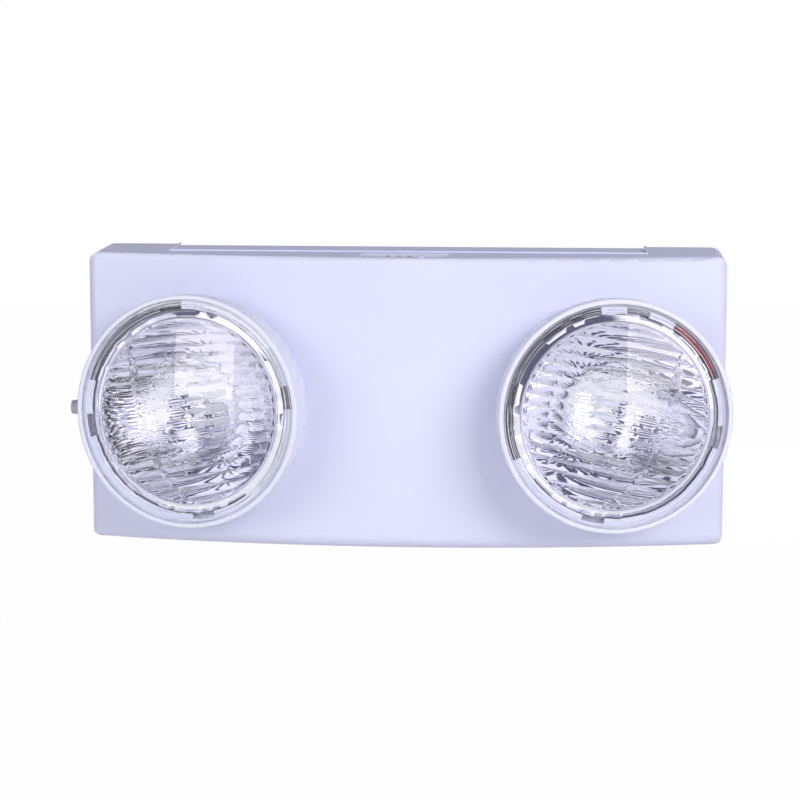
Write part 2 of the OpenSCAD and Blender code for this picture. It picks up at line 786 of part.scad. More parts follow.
module lead_connectors() {
    color([0.9, 0.9, 0.85]) for (s = [-1, 1])
        block(s * plug_x, plug_w, main_face, main_face + plug_d, plug_z - plug_h / 2, plug_z + plug_h / 2);
    color([0.9, 0.9, 0.85]) block(0, 2 * plug_w, main_face, main_face + plug_d,
        main_bottom + 2 * lead_r, main_bottom + plug_h);
}

// Lead from the board to the back of a head's pivot
module feed_lead(side) {
    back = pivot_z + feed_r / 2;
    far = back + feed_r;
    start = [side * (head_x - back * sin(face_turn)), head_y + back * cos(face_turn), -head_drop];
    next = [side * (head_x - far * sin(face_turn)), head_y + far * cos(face_turn), -head_drop];
    low_y = -(floor_y + feed_r + play + fit);
    color(DARK) tube(smooth([start, next,
        [side * (abs(start[0]) - 4 * feed_r), low_y, -head_drop],
        [side * (main_w / 2 + 8 * feed_r), low_y, plug_z / 2],
        [side * (main_w / 2 + 4 * feed_r), (low_y - main_face) / 2 - feed_r, plug_z],
        [side * (main_w / 2 + 2 * feed_r), -main_face - plug_d / 2, plug_z],
        [side * (plug_x + plug_w / 2 + play), -main_face - plug_d / 2, plug_z]]), feed_r);
}

module indicator_board() {
    color(BOARD) difference() {
        block(0, control_board_w, control_board_back, control_board_back + control_board_d,
            board_top - control_board_t, board_top);
        for (x = [-1, 1]) translate([x * control_boss_x, -control_boss_y, board_top - control_board_t - over])
            cylinder(h = control_board_t + 2 * over, r = control_screw_r + screw_gap, $fn = slim_fn);
    }
}

module indicator_screws() {
    color(STEEL) for (x = [-1, 1])
        translate([x * control_boss_x, -control_boss_y, board_top - control_board_t]) {
            translate([0, 0, -control_head_h]) cylinder(h = control_head_h, r = control_head_r, $fn = slim_fn);
            translate([0, 0, -skin]) cylinder(h = pad_z - board_top + control_board_t - skin,
                r = control_screw_r, $fn = slim_fn);
        }
}

module indicator_lead() {
    low = main_bottom + main_h;
    color(GREY) tube(smooth([[0, -main_face - play, low - 5 * lead_r],
        [0, -main_face - 3 * lead_r, low - 5 * lead_r],
        [0, -main_face - 7 * lead_r, low],
        [0, -(main_face + control_board_back) / 2, low + 2 * lead_r],
        [0, -control_board_back - 2 * lead_r, board_top - control_board_t - 3 * lead_r],
        [0, -control_board_back - 3 * lead_r, board_top - control_board_t - play]]), lead_r);
}

module indicator_lamp(i) {
    tip = half_h + lamp_tip;
    translate([control_x(i), -control_y, board_top]) {
        cylinder(h = tip - board_top - lamp_body_h + lamp_r / 2, r = lamp_foot_r, $fn = slim_fn);
        cylinder(h = tip - board_top - lamp_r, r = lamp_r, $fn = slim_fn);
        translate([0, 0, tip - board_top - lamp_r]) sphere(r = lamp_r, $fn = slim_fn);
    }
}

module power_lamp() {
    color([0.3, 0.8, 0.4]) indicator_lamp(0);
}

module charge_lamp() {
    color([0.9, 0.7, 0.2]) indicator_lamp(1);
}

module fault_lamp() {
    color([0.85, 0.2, 0.2]) indicator_lamp(2);
}

module test_switch() {
    color(DARK) translate([control_x(3), -control_y, board_top]) difference() {
        translate([-switch_w / 2, -switch_w / 2, 0]) cube([switch_w, switch_w, switch_h]);
        translate([0, 0, -over]) cylinder(h = switch_h + 2 * over, r = plunger_r + hole_gap / 2, $fn = slim_fn);
    }
}

module switch_plunger() {
    color(GREY) translate([control_x(3), -control_y, plunger_z])
        cylinder(h = plunger_h, r = plunger_r, $fn = slim_fn);
}

module button_spring() {
    rise = collar_z - spring_z - 2 * coil_wire_r - 2 * skin;
    turns = coil_turns * coil_steps;
    color(STEEL) translate([control_x(3), -control_y, spring_z + coil_wire_r + skin])
        tube([for (i = [0 : turns]) polar(coil_r, 360 * i / coil_steps, rise * i / turns)], coil_wire_r, 6);
}

module test_button() {
    color(WHITE) translate([control_x(3), -control_y, 0]) {
        translate([0, 0, plunger_z + plunger_h])
            cylinder(h = collar_z - plunger_z - plunger_h + collar_h / 2, r = plunger_r, $fn = slim_fn);
        translate([0, 0, collar_z]) cylinder(h = collar_h, r = collar_r, $fn = slim_fn);
        translate([0, 0, collar_z]) cylinder(h = half_h + lamp_tip - collar_z, r = button_r, $fn = slim_fn);
    }
}

module cable_bushing() {
    color(GREY) translate([-half_w, -gland_y, -gland_drop]) rotate([0, -90, 0]) difference() {
        union() {
            cylinder(h = gland_flange_t, r = gland_flange_r, $fn = round_fn);
            cylinder(h = gland_l, r1 = gland_root_r, r2 = gland_tip_r, $fn = round_fn);
            translate([0, 0, -gland_inside]) cylinder(h = gland_inside + gland_flange_t / 2,
                r = gland_thread_r, $fn = slim_fn);
        }
        translate([0, 0, -gland_inside - over])
            cylinder(h = gland_l + gland_inside + 2 * over, r = gland_bore_r, $fn = slim_fn);
    }
}

module bushing_nut() {
    color(GREY) translate([-half_w + wall, -gland_y, -gland_drop]) rotate([0, 90, 0]) difference() {
        cylinder(h = gland_nut_t, r = gland_nut_w / sqrt(3), $fn = 6);
        translate([0, 0, -over]) cylinder(h = gland_nut_t + 2 * over, r = gland_thread_r + skin, $fn = slim_fn);
    }
}

// Hollow pivot whose flange curves about the tilt axis inside the bowl
module pivot(side) {
    color(STEEL) at_pivot(side) difference() {
        union() {
            intersection() {
                sphere(r = shell_in_r - play, $fn = wide_fn);
                axial(clamp_z, shell_in_r + over, clamp_r);
            }
            axial(clamp_z, pivot_z, pivot_r);
        }
        rotate([90, 0, 0]) cylinder(h = 4 * clamp_r, r = saddle_r, $fn = wide_fn, center = true);
        axial(clamp_z - over, pivot_z + over, pivot_bore_r, slim_fn);
    }
}

module clamp_washer(side) {
    color(GREY) at_pivot(side) difference() {
        axial(shell_in_r - washer_t, washer_z, washer_r);
        sphere(r = head_r + play, $fn = wide_fn);
        axial(shell_in_r - washer_t - over, washer_z + over, pivot_r + skin);
    }
}

module disc_spring(side) {
    low = -washer_z - spring_h;
    color(STEEL) at_pivot(side) rotate_extrude($fn = round_fn)
        polygon([[pivot_r + screw_gap, low], [clamp_r, -washer_z - spring_t], [clamp_r, -washer_z],
            [pivot_r + screw_gap, low + spring_t]]);
}

module pivot_nut(side) {
    color(STEEL) at_pivot(side) difference() {
        translate([0, 0, -nut_z - nut_h]) cylinder(h = nut_h, r = nut_w / sqrt(3), $fn = 6);
        axial(nut_z - over, nut_z + nut_h + over, pivot_r + skin);
    }
}

module core_leads(side) {
    color(DARK) at_pivot(side) for (s = [-1, 1]) translate([0, s * core_r, 0])
        axial(clamp_z - play, pivot_z, core_r - skin, slim_fn);
}

module shell_profile(r, top) {
    intersection() {
        circle(r, $fn = wide_fn);
        translate([0, -r - over]) square(r + over);
    }
    square([r, top]);
}

module shell(side) {
    color(WHITE) at_bowl(side) difference() {
        union() {
            rotate_extrude($fn = wide_fn) difference() {
                shell_profile(head_r, rim_h);
                shell_profile(shell_in_r, rim_h + over);
            }
            translate([0, 0, flange_z - ledge_t]) difference() {
                cylinder(h = ledge_t, r = shell_in_r + shell_t / 2, $fn = wide_fn);
                translate([0, 0, -over]) cylinder(h = ledge_t + 2 * over, r = shell_in_r - ledge_w, $fn = wide_fn);
            }
            intersection() {
                sphere(r = head_r - shell_t / 2, $fn = wide_fn);
                for (i = [0 : strut_count - 1]) rotate([0, 0, strut_start + 360 * i / strut_count])
                    translate([strut_ring_r, 0, -head_r]) cylinder(h = head_r + dish_z, r = strut_r, $fn = slim_fn);
            }
        }
        for (i = [0 : 3]) rotate([0, 0, rib_turn(side) + 90 * i])
            translate([tab_r - tab_gap, -tab_w / 2 - tab_gap, flange_z - ledge_t - over])
                cube([shell_in_r - tab_r, tab_w + 2 * tab_gap, ledge_t + 2 * over]);
        pivot_slot();
    }
}

// Slot in the back of the bowl that the pivot slides along
module pivot_slot() {
    r = pivot_r + slot_gap;
    for (x = [-1, 1]) translate([x * slot_reach, 0, -head_r - over])
        cylinder(h = head_r - clamp_z + shell_t, r = r, $fn = round_fn);
    translate([-slot_reach, -r, -head_r - over]) cube([2 * slot_reach, 2 * r, head_r - clamp_z + shell_t]);
}

// Row of round ribs on the back of the disc, seen along them
module rib_row() {
    count = ceil(disc_r / rib_pitch);
    rib_r = (rib_pitch * rib_pitch / 4 + rib_h * rib_h) / (2 * rib_h);
    for (i = [-count : count]) intersection() {
        translate([i * rib_pitch, disc_z - rib_h + rib_r]) circle(rib_r, $fn = round_fn);
        translate([(i - 1 / 2) * rib_pitch, disc_z - rib_h - over])
            square([rib_pitch, rib_h + over + disc_t / 2]);
    }
}

module lens(side) {
    color(CLEAR) at_bowl(side) rotate([0, 0, rib_turn(side)]) {
        rotate_extrude($fn = wide_fn) polygon([[0, disc_z], [disc_r, disc_z], [lens_r - flange_w, flange_z],
            [lens_r, flange_z], [lens_r, flange_z + flange_t], [lens_r - flange_w, flange_z + flange_t],
            [disc_r, disc_z + disc_t], [0, disc_z + disc_t]]);
        intersection() {
            rotate([90, 0, 90]) linear_extrude(height = 2 * disc_r, center = true) rib_row();
            translate([0, 0, disc_z - 2 * rib_h])
                cylinder(h = 3 * rib_h + disc_t / 2, r = disc_r - rib_h, $fn = wide_fn);
        }
        for (i = [0 : 3]) rotate([0, 0, 90 * i])
            translate([tab_r, -tab_w / 2, flange_z - tab_l]) cube([tab_t, tab_w, tab_l + flange_t / 2]);
    }
}

module reflector(side) {
    color(CHROME) at_bowl(side) difference() {
        rotate_extrude($fn = wide_fn) polygon(concat(
            [for (i = [0 : dish_steps]) let (r = neck_r + (mouth_r - neck_r) * i / dish_steps) [r, dish_height(r)]],
            [[mouth_r, dish_z + dish_t], [mouth_r + dish_flange_w, dish_z + dish_t],
                [mouth_r + dish_flange_w, dish_z], [mouth_r + dish_t / 2, dish_z]],
            [for (i = [dish_steps : -1 : 0]) let (r = join_r + (mouth_r - join_r) * i / dish_steps)
                [r, dish_height(r) - dish_t]],
            [[lamp_board_r, dish_bottom], [lamp_board_r, board_z], [neck_r, board_z]]));
        for (x = [-1, 1]) translate([x * sink_screw_x, 0, board_z - over])
            cylinder(h = over + screw_bite, r = small_r + screw_gap, $fn = slim_fn);
    }
}

module lamp_board(side) {
    color([0.95, 0.95, 0.95]) at_bowl(side) difference() {
        translate([0, 0, sink_z]) cylinder(h = lamp_board_t, r = lamp_board_r, $fn = round_fn);
        for (x = [-1, 1]) translate([x * sink_screw_x, 0, sink_z - over])
            cylinder(h = lamp_board_t + 2 * over, r = small_r + screw_gap, $fn = slim_fn);
    }
}

module emitter(side) {
    color([0.95, 0.85, 0.4]) at_bowl(side) {
        translate([-emitter_w / 2, -emitter_w / 2, board_z]) cube([emitter_w, emitter_w, emitter_h]);
        intersection() {
            translate([0, 0, board_z + emitter_h]) sphere(r = dome_r, $fn = round_fn);
            translate([0, 0, board_z + emitter_h / 2]) cylinder(h = 2 * dome_r, r = emitter_w / 2, $fn = round_fn);
        }
    }
}

module heat_sink(side) {
    base_z = sink_z - sink_base_t;
    color([0.7, 0.71, 0.74]) at_bowl(side) difference() {
        union() {
            translate([0, 0, base_z]) cylinder(h = sink_base_t, r = sink_r, $fn = round_fn);
            intersection() {
                translate([0, 0, base_z - fin_h]) cylinder(h = fin_h + sink_base_t / 2, r = sink_r, $fn = round_fn);
                for (s = [-1, 1]) for (i = [0 : fin_rows - 1])
                    translate([-sink_r, s * (fin_start + i * fin_pitch) - fin_t / 2, base_z - fin_h])
                        cube([2 * sink_r, fin_t, fin_h + sink_base_t / 2]);
            }
        }
        for (x = [-1, 1]) translate([x * sink_screw_x, 0, base_z - over])
            cylinder(h = sink_base_t + 2 * over, r = small_r + screw_gap, $fn = slim_fn);
    }
}

module sink_screws(side) {
    base_z = sink_z - sink_base_t;
    color(STEEL) at_bowl(side) for (x = [-1, 1]) translate([x * sink_screw_x, 0, base_z]) {
        translate([0, 0, -small_head_h]) cylinder(h = small_head_h, r = small_head_r, $fn = slim_fn);
        translate([0, 0, -small_r / 2]) cylinder(h = sink_base_t + lamp_board_t + screw_bite - skin + small_r / 2,
            r = small_r, $fn = slim_fn);
    }
}

// Where each head's leads run in the gap around the reflector
function rim_lane_z(side) = side < 0 ? dish_bottom / 4 : dish_z - dish_t;
function rim_lane_start(side) = side < 0 ? -5 : 92;
sink_end = sink_z - sink_base_t - fin_h;
fin_mid = sink_end + fin_h / 2;

// Path of the lead that runs round the reflector's rim
function red_path(side) = let (a = rim_lane_start(side), z = rim_lane_z(side),
    s = [lead_z * sin(tilt(side)), side * core_r, -lead_z * cos(tilt(side))])
    [s, polar(sink_r, a - 20, sink_end - 3 * lead_r), polar(sink_r + 3 * lead_r, a - 20, fin_mid),
        polar(mouth_r - dish_flange_w, a - 12, dish_bottom),
        polar(mouth_r + lead_r, a - 6, z - 8 * lead_r),
        polar(rim_lane_r, a, z), polar(rim_lane_r, a + 10, z), polar(rim_lane_r, a + 20, z),
        polar(rim_lane_r, a + 30, z), polar(mouth_r + lead_r, a + 37, z - 8 * lead_r),
        polar(mouth_r - dish_flange_w, a + 42, dish_bottom + lead_r),
        polar(sink_r + 5 * lead_r, a + 48, board_z - 0.8 * lead_r),
        polar(lamp_board_r + play, a + 52, board_z - 0.8 * lead_r)];

function black_path(side) = let (a = rim_lane_start(side) + 160,
    s = [lead_z * sin(tilt(side)), -side * core_r, -lead_z * cos(tilt(side))])
    [s, polar(sink_r, a, sink_end - 3 * lead_r), polar(sink_r + 3 * lead_r, a, fin_mid),
        polar(sink_r + 6 * lead_r, a + 10, sink_z),
        polar(sink_r + 3 * lead_r, a + 20, board_z - 0.8 * lead_r),
        polar(lamp_board_r + play, a + 24, board_z - 0.8 * lead_r)];

module head_leads(side) {
    color([0.8, 0.12, 0.12]) at_bowl(side) tube(smooth(red_path(side)), lead_r);
    color(DARK) at_bowl(side) tube(smooth(black_path(side)), lead_r);
}

front_cover();
rear_housing();
wall_bracket();
cover_screws();
lock_screw();
bridge(-1);  // left_bridge
bridge(1);  // right_bridge
bridge_screws();
battery_cells();
battery_sleeve();
battery_strap();
strap_screws();
battery_leads();
main_board();
board_screws();
transformer();
capacitors();
fuse();
terminal_block();
lead_connectors();
feed_lead(-1);  // left_feed_lead
feed_lead(1);  // right_feed_lead
indicator_board();
indicator_screws();
indicator_lead();
power_lamp();
charge_lamp();
fault_lamp();
test_switch();
cable_bushing();
bushing_nut();
switch_plunger();
button_spring();
test_button();
pivot(-1);  // left_pivot
clamp_washer(-1);  // left_clamp_washer
disc_spring(-1);  // left_disc_spring
pivot_nut(-1);  // left_pivot_nut
core_leads(-1);  // left_core_leads
shell(-1);  // left_shell
lens(-1);  // left_lens
reflector(-1);  // left_reflector
lamp_board(-1);  // left_lamp_board
emitter(-1);  // left_emitter
heat_sink(-1);  // left_heat_sink
sink_screws(-1);  // left_sink_screws
head_leads(-1);  // left_head_leads
pivot(1);  // right_pivot
clamp_washer(1);  // right_clamp_washer
disc_spring(1);  // right_disc_spring
pivot_nut(1);  // right_pivot_nut
core_leads(1);  // right_core_leads
shell(1);  // right_shell
lens(1);  // right_lens
reflector(1);  // right_reflector
lamp_board(1);  // right_lamp_board
emitter(1);  // right_emitter
heat_sink(1);  // right_heat_sink
sink_screws(1);  // right_sink_screws
head_leads(1);  // right_head_leads
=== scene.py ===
import json
import math

import bmesh
import bpy
import numpy as np
from mathutils import Matrix, Vector


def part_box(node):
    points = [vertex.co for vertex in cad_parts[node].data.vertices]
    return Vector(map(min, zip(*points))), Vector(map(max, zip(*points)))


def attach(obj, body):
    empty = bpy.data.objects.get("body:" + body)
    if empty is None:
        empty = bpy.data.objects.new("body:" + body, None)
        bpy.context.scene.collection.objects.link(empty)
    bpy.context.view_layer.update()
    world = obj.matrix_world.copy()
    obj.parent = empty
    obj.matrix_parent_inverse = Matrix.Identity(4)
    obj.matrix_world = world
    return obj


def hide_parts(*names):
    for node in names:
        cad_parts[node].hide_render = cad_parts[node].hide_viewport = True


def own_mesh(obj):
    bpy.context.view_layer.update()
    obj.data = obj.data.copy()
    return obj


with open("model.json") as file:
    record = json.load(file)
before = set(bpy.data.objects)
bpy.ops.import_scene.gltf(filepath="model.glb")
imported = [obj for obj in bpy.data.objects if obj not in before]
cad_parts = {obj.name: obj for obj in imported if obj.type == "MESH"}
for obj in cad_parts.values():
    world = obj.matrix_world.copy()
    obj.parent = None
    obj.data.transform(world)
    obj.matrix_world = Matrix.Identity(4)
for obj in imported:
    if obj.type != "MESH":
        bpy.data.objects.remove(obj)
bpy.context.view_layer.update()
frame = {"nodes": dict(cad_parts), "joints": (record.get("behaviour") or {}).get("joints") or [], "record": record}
nodes = frame["nodes"]
record = frame["record"]
joints = {j["name"]: j for j in frame["joints"]}
slot_of = {s["node"]: s["material_slot"] for s in record["subparts"]}
MM = 0.001
SIDES = (("left", -1), ("right", 1))

# Camera at the photograph's place: its axes, its place in metres and its lens in millimetres
CAMERA_RIGHT = (0.99799224, 0.06332475, 0.00120745)
CAMERA_UP = (-0.01084597, 0.15208692, 0.98830761)
CAMERA_PLACE = (0.067226, -1.142390, 0.170394)
CAMERA_SENSOR = 36
CAMERA_LENS = 118.4
CAMERA_SHIFT = (0.45 / 800, -0.9 / 800)

# Studio that shiny things show: its colours, and dark patches as direction, outer and inner radius
# in degrees
PALE, DEEP, BEHIND = (0.965, 0.958, 1.0), (0.035, 0.035, 0.095), (0.35, 0.35, 0.47)
PATCHES = (((0.03, -0.98, 0.12), 17, 12), ((-0.6, -0.5, 0.6), 27, 20), ((0.25, -0.6, 0.75), 14, 9),
           ((-0.62, -0.75, -0.12), 9, 6))
# Unevenness of the patches' edges, and the middle of what it adds
PATCH_WAVE = 0.06
PATCH_WAVE_MID = PATCH_WAVE / 2
# Where the studio turns from its front to its back, as the direction's Y
BEHIND_FROM, BEHIND_TO = -0.55, -0.1
# Bright boxes that bare outer faces show and brighter panel at the right that everything shiny
# shows, by direction: across, up and half sizes, as tangents
BOXES = ((-0.639, 0.019, 0.069, 0.06), (0.47, -0.01, 0.145, 0.06))
PANELS = ((1.5, 0.1, 0.45, 0.45),)
PANEL_SHARE = 0.3
# Least part of a direction that points ahead where a box can be seen
AHEAD_MIN = 0.05
BOX_POWER = 5.0
STUDIO_POWER = 1.35
# Dim light of the world on everything else
FILL_COLOUR = (0.80, 0.82, 1.0)
FILL_POWER = 0.21

# Lamps: name, place and target in metres, width, height and watts
LAMPS = (("lamp_left", (-0.95, -1.35, 0.42), (-0.02, -0.05, 0), 1.1, 0.8, 9.3),
         ("lamp_right", (1.0, -1.25, 0.75), (0.02, -0.05, 0), 1.1, 0.8, 19.4),
         ("lamp_back", (0.3, 1.7, 0.0), (0, 0, 0), 1.2, 0.8, 9))

# Floor in metres, its cells along a side and how much of it glows
FLOOR_SIZE = 6.0
FLOOR_Z = -0.32
FLOOR_CELLS = 40
FLOOR_GLOW = 0.98

# Range of a noise texture that spreads over a colour or a value
NOISE_LOW, NOISE_HIGH = 0.3, 0.7

# Sizes shared with the solids, in millimetres
HEAD_R = 48.6
SHELL_IN_R = 46.6
RIM_H = 5.4
FLANGE_T = 2.0
FLANGE_Z = 2.9
LENS_R = 46.45
FLANGE_IN_R = 43.45
DISC_R = 38.9
DISC_Z = 2.6
DISC_T = 1.3
RIB_PITCH = 4.75
RIB_H = 0.6
RIB_ANGLE = {"left": 44, "right": 56}
MOUTH_R = 38.6
DISH_Z = 0.3
DISH_T = 1.5
DISH_D = 23.0
DISH_FLANGE_W = 3.9
NECK_R = 8.0
NECK_FLANGE_R = 15.0
DISC_IN_R = DISC_R - RIB_H
TAB_T = 1.4
TAB_W = 9.0
TAB_LOW = -2.1
LEDGE_R = 45.6
LEDGE_LOW = 1.7
SLOT_ANGLE = 15
BUSHING_FACE_X = 135.0
BUSHING_INSIDE = 6.0
BUSHING_BORE_R = 1.7
THREAD_R = 4.0
COLLAR_R = 6.0
COLLAR_T = 2.4
SLEEVE_R = 3.6
SLEEVE_TAPER = 0.6

# Relief of the lens's back, in millimetres: long ribs as fingers on the outer side, then ridges
# with pillows on them in a circle that is off centre, and plain ribs outside the circle
FINGER_X = 21.0
FINGER_H = 0.6
FINGER_ROUND = 2.2
FINGER_BEND = 0.012
RIDGE_H = 0.56
RIDGE_START = 1.6
PLAIN_RIB_H = 0.8
PILLOW_R = 28.0
PILLOW_IN = 9.0
PILLOW_H = 0.5
PILLOW_L = 9.5
PILLOW_END_W = 0.22
# What is left of the relief at its rim, and how far in from there it fades
RIB_RIM_H = 0.12
RIB_FADE = 0.9

# Other sizes that only the finer forms have, in millimetres. TAB_R is the outer face of the
# lens's tabs, which is the inner one in the solids.
TAB_R = 44.7
FLANGE_WAVE = 0.05
FLANGE_ROUND = 0.25
CROWN = 1.1
GRID_PER_PITCH = 14
GRID_ALONG = 0.38
GRID_MARGIN = 0.25
CROWN_SHARES = (0.94, 0.84, 0.7, 0.54, 0.38, 0.22, 0.08)
DISH_LIP_R = 0.35
DISH_STEPS = 40
DISH_SIDES = 160
SHELL_BEVEL = 0.8
SHELL_LIP = 0.3
SHELL_SIDES = 180
SLOT_R = 5.5
SLOT_TOP = -43.0
SHELF_Z = 2.5
SHELF_T = 1.0
SHELF_IN_R = 42.75
SHELF_INTO_SHELL = 0.3
CATCH_LOW = 0.9
CATCH_GAP = 0.2
SHELF_ARCS = {"left": ((50.2, 127.8), (199, 217.8), (230.2, 307.8), (320.2, 397.8)),
              "right": ((62.2, 88), (125, 139.8), (152.2, 166), (271, 319.8), (332.2, 409.8))}
CATCH_ARCS = {"left": ((37.8, 50.2), (217.8, 230.2), (307.8, 320.2)),
              "right": ((49.8, 62.2), (139.8, 152.2), (319.8, 332.2))}
THREAD_DEPTH = 0.25
THREAD_PITCH = 0.9
THREAD_TURNS = 6
COLLAR_ROUND = 0.6
SLEEVE_TIP_ROUND = 0.7
BUSHING_SIDES = 64
GROOVES = 3
GROOVE_START = 3.2
GROOVE_PITCH = 2.3
GROOVE_DEPTH = 0.25
SPRING_WIRE_R = 0.17
SPRING_TURNS = 5
SPRING_STEPS = 32
SPRING_SIDES = 10
SPRING_END_PITCH = 0.45

# Angle in degrees above which an edge is sharp
SHARP_ANGLE = 35
LENS_SHARP_ANGLE = 24


def link(obj):
    bpy.context.scene.collection.objects.link(obj)


def make_camera():
    data = bpy.data.cameras.new("camera")
    cam = bpy.data.objects.new("camera", data)
    link(cam)
    right = Vector(CAMERA_RIGHT).normalized()
    up = Vector(CAMERA_UP).normalized()
    back = right.cross(up).normalized()
    up = back.cross(right)
    turn = Matrix((right, up, back)).transposed().to_4x4()
    cam.matrix_world = Matrix.Translation(Vector(CAMERA_PLACE)) @ turn
    data.sensor_width = CAMERA_SENSOR
    data.lens = CAMERA_LENS
    data.shift_x, data.shift_y = CAMERA_SHIFT
    data.clip_start = 0.05
    data.clip_end = 50
    bpy.context.scene.camera = cam


make_camera()
bpy.context.scene.view_settings.view_transform = "Standard"


# Shader nodes. t is anything that has nodes and links: a node tree or a Tree below.
def math_node(t, kind, *values):
    """A Math node whose inputs are sockets or numbers"""
    n = t.nodes.new("ShaderNodeMath")
    n.operation = kind
    for socket, value in zip(n.inputs, values):
        if hasattr(value, "is_output"):
            t.links.new(value, socket)
        else:
            socket.default_value = value
    return n.outputs[0]


def map_node(t, source, start, end, low=0.0, high=1.0):
    """Spreads source from start to end over low to high"""
    n = t.nodes.new("ShaderNodeMapRange")
    n.inputs["From Min"].default_value = start
    n.inputs["From Max"].default_value = end
    n.inputs["To Min"].default_value = low
    n.inputs["To Max"].default_value = high
    t.links.new(source, n.inputs["Value"])
    return n.outputs["Result"]


def noise_node(t, source, scale, detail):
    n = t.nodes.new("ShaderNodeTexNoise")
    n.inputs["Scale"].default_value = scale
    n.inputs["Detail"].default_value = detail
    t.links.new(source, n.inputs["Vector"])
    return n.outputs["Fac"]


def mix_colours(t, factor, a, b):
    """From colour a to colour b. Colour a may be a socket."""
    n = t.nodes.new("ShaderNodeMix")
    n.data_type = "RGBA"
    if hasattr(a, "is_output"):
        t.links.new(a, n.inputs["A"])
    else:
        n.inputs["A"].default_value = (*a, 1)
    n.inputs["B"].default_value = (*b, 1)
    t.links.new(factor, n.inputs["Factor"])
    return n.outputs["Result"]


def mix_shaders(t, factor, a, b):
    n = t.nodes.new("ShaderNodeMixShader")
    t.links.new(factor, n.inputs["Fac"])
    t.links.new(a, n.inputs[1])
    t.links.new(b, n.inputs[2])
    return n.outputs[0]


def background(t, colour, strength):
    n = t.nodes.new("ShaderNodeBackground")
    n.inputs["Color"].default_value = (*colour, 1)
    n.inputs["Strength"].default_value = strength
    return n.outputs[0]


# World and lamps
def soft_boxes(t, split, group):
    """1 where a direction points at one of a group of bright boxes, else 0"""
    ahead = math_node(t, "MULTIPLY", split.outputs["Y"], -1.0)
    across = math_node(t, "DIVIDE", split.outputs["X"], ahead)
    up = math_node(t, "DIVIDE", split.outputs["Z"], ahead)
    total = 0.0
    for mid_x, mid_z, half_x, half_z in group:
        dx = math_node(t, "ABSOLUTE", math_node(t, "SUBTRACT", across, mid_x))
        dz = math_node(t, "ABSOLUTE", math_node(t, "SUBTRACT", up, mid_z))
        one = math_node(t, "MULTIPLY", math_node(t, "LESS_THAN", dx, half_x),
                        math_node(t, "LESS_THAN", dz, half_z))
        total = math_node(t, "ADD", total, one)
    front = math_node(t, "GREATER_THAN", ahead, AHEAD_MIN)
    return math_node(t, "MULTIPLY", total, front)


def dark_patches(t, direction):
    """1 where a direction points into a dark patch, else 0, with soft uneven edges"""
    wave = math_node(t, "MULTIPLY", noise_node(t, direction, scale=3.0, detail=1.0), PATCH_WAVE)
    total = 0.0
    for toward, wide, narrow in PATCHES:
        dot = t.nodes.new("ShaderNodeVectorMath")
        dot.operation = "DOT_PRODUCT"
        dot.inputs[1].default_value = Vector(toward).normalized()
        t.links.new(direction, dot.inputs[0])
        near = map_node(t, math_node(t, "ADD", dot.outputs["Value"], wave),
                        math.cos(math.radians(wide)) + PATCH_WAVE_MID,
                        math.cos(math.radians(narrow)) + PATCH_WAVE_MID)
        total = math_node(t, "MAXIMUM", near, total)
    return total


def make_world():
    """Plain white for the camera, the studio for shiny things and a dim fill for the rest"""
    world = bpy.data.worlds.new("studio")
    bpy.context.scene.world = world
    world.use_nodes = True
    t = world.node_tree
    t.nodes.clear()
    out = t.nodes.new("ShaderNodeOutputWorld")
    path = t.nodes.new("ShaderNodeLightPath")
    direction = t.nodes.new("ShaderNodeTexCoord").outputs["Generated"]
    split = t.nodes.new("ShaderNodeSeparateXYZ")
    t.links.new(direction, split.inputs[0])
    front = mix_colours(t, dark_patches(t, direction), PALE, DEEP)
    behind = map_node(t, split.outputs["Y"], BEHIND_FROM, BEHIND_TO)
    # The boxes are left out once a ray has gone through something clear
    bare = math_node(t, "LESS_THAN", path.outputs["Transmission Depth"], 0.5)
    boxes = math_node(t, "MULTIPLY", soft_boxes(t, split, BOXES), bare)
    panels = math_node(t, "MULTIPLY", soft_boxes(t, split, PANELS), PANEL_SHARE)
    mirror = t.nodes.new("ShaderNodeBackground")
    t.links.new(mix_colours(t, behind, front, BEHIND), mirror.inputs["Color"])
    t.links.new(math_node(t, "MULTIPLY_ADD", math_node(t, "ADD", boxes, panels), BOX_POWER,
                          STUDIO_POWER), mirror.inputs["Strength"])
    shiny = math_node(t, "MAXIMUM", path.outputs["Is Glossy Ray"],
                      path.outputs["Is Transmission Ray"])
    unseen = mix_shaders(t, shiny, background(t, FILL_COLOUR, FILL_POWER), mirror.outputs[0])
    last = mix_shaders(t, path.outputs["Is Camera Ray"], unseen, background(t, (1, 1, 1), 1.0))
    t.links.new(last, out.inputs["Surface"])


def area_light(name, place, target, size_x, size_y, watts):
    """A lamp that isn't seen in shiny or clear things"""
    data = bpy.data.lights.new(name, "AREA")
    data.shape = "RECTANGLE"
    data.size = size_x
    data.size_y = size_y
    data.energy = watts
    lamp = bpy.data.objects.new(name, data)
    link(lamp)
    lamp.location = place
    aim = Vector(target) - Vector(place)
    lamp.rotation_mode = "QUATERNION"
    lamp.rotation_quaternion = aim.to_track_quat("-Z", "Y")
    lamp.visible_glossy = False
    lamp.visible_transmission = False


make_world()
for lamp_values in LAMPS:
    area_light(*lamp_values)


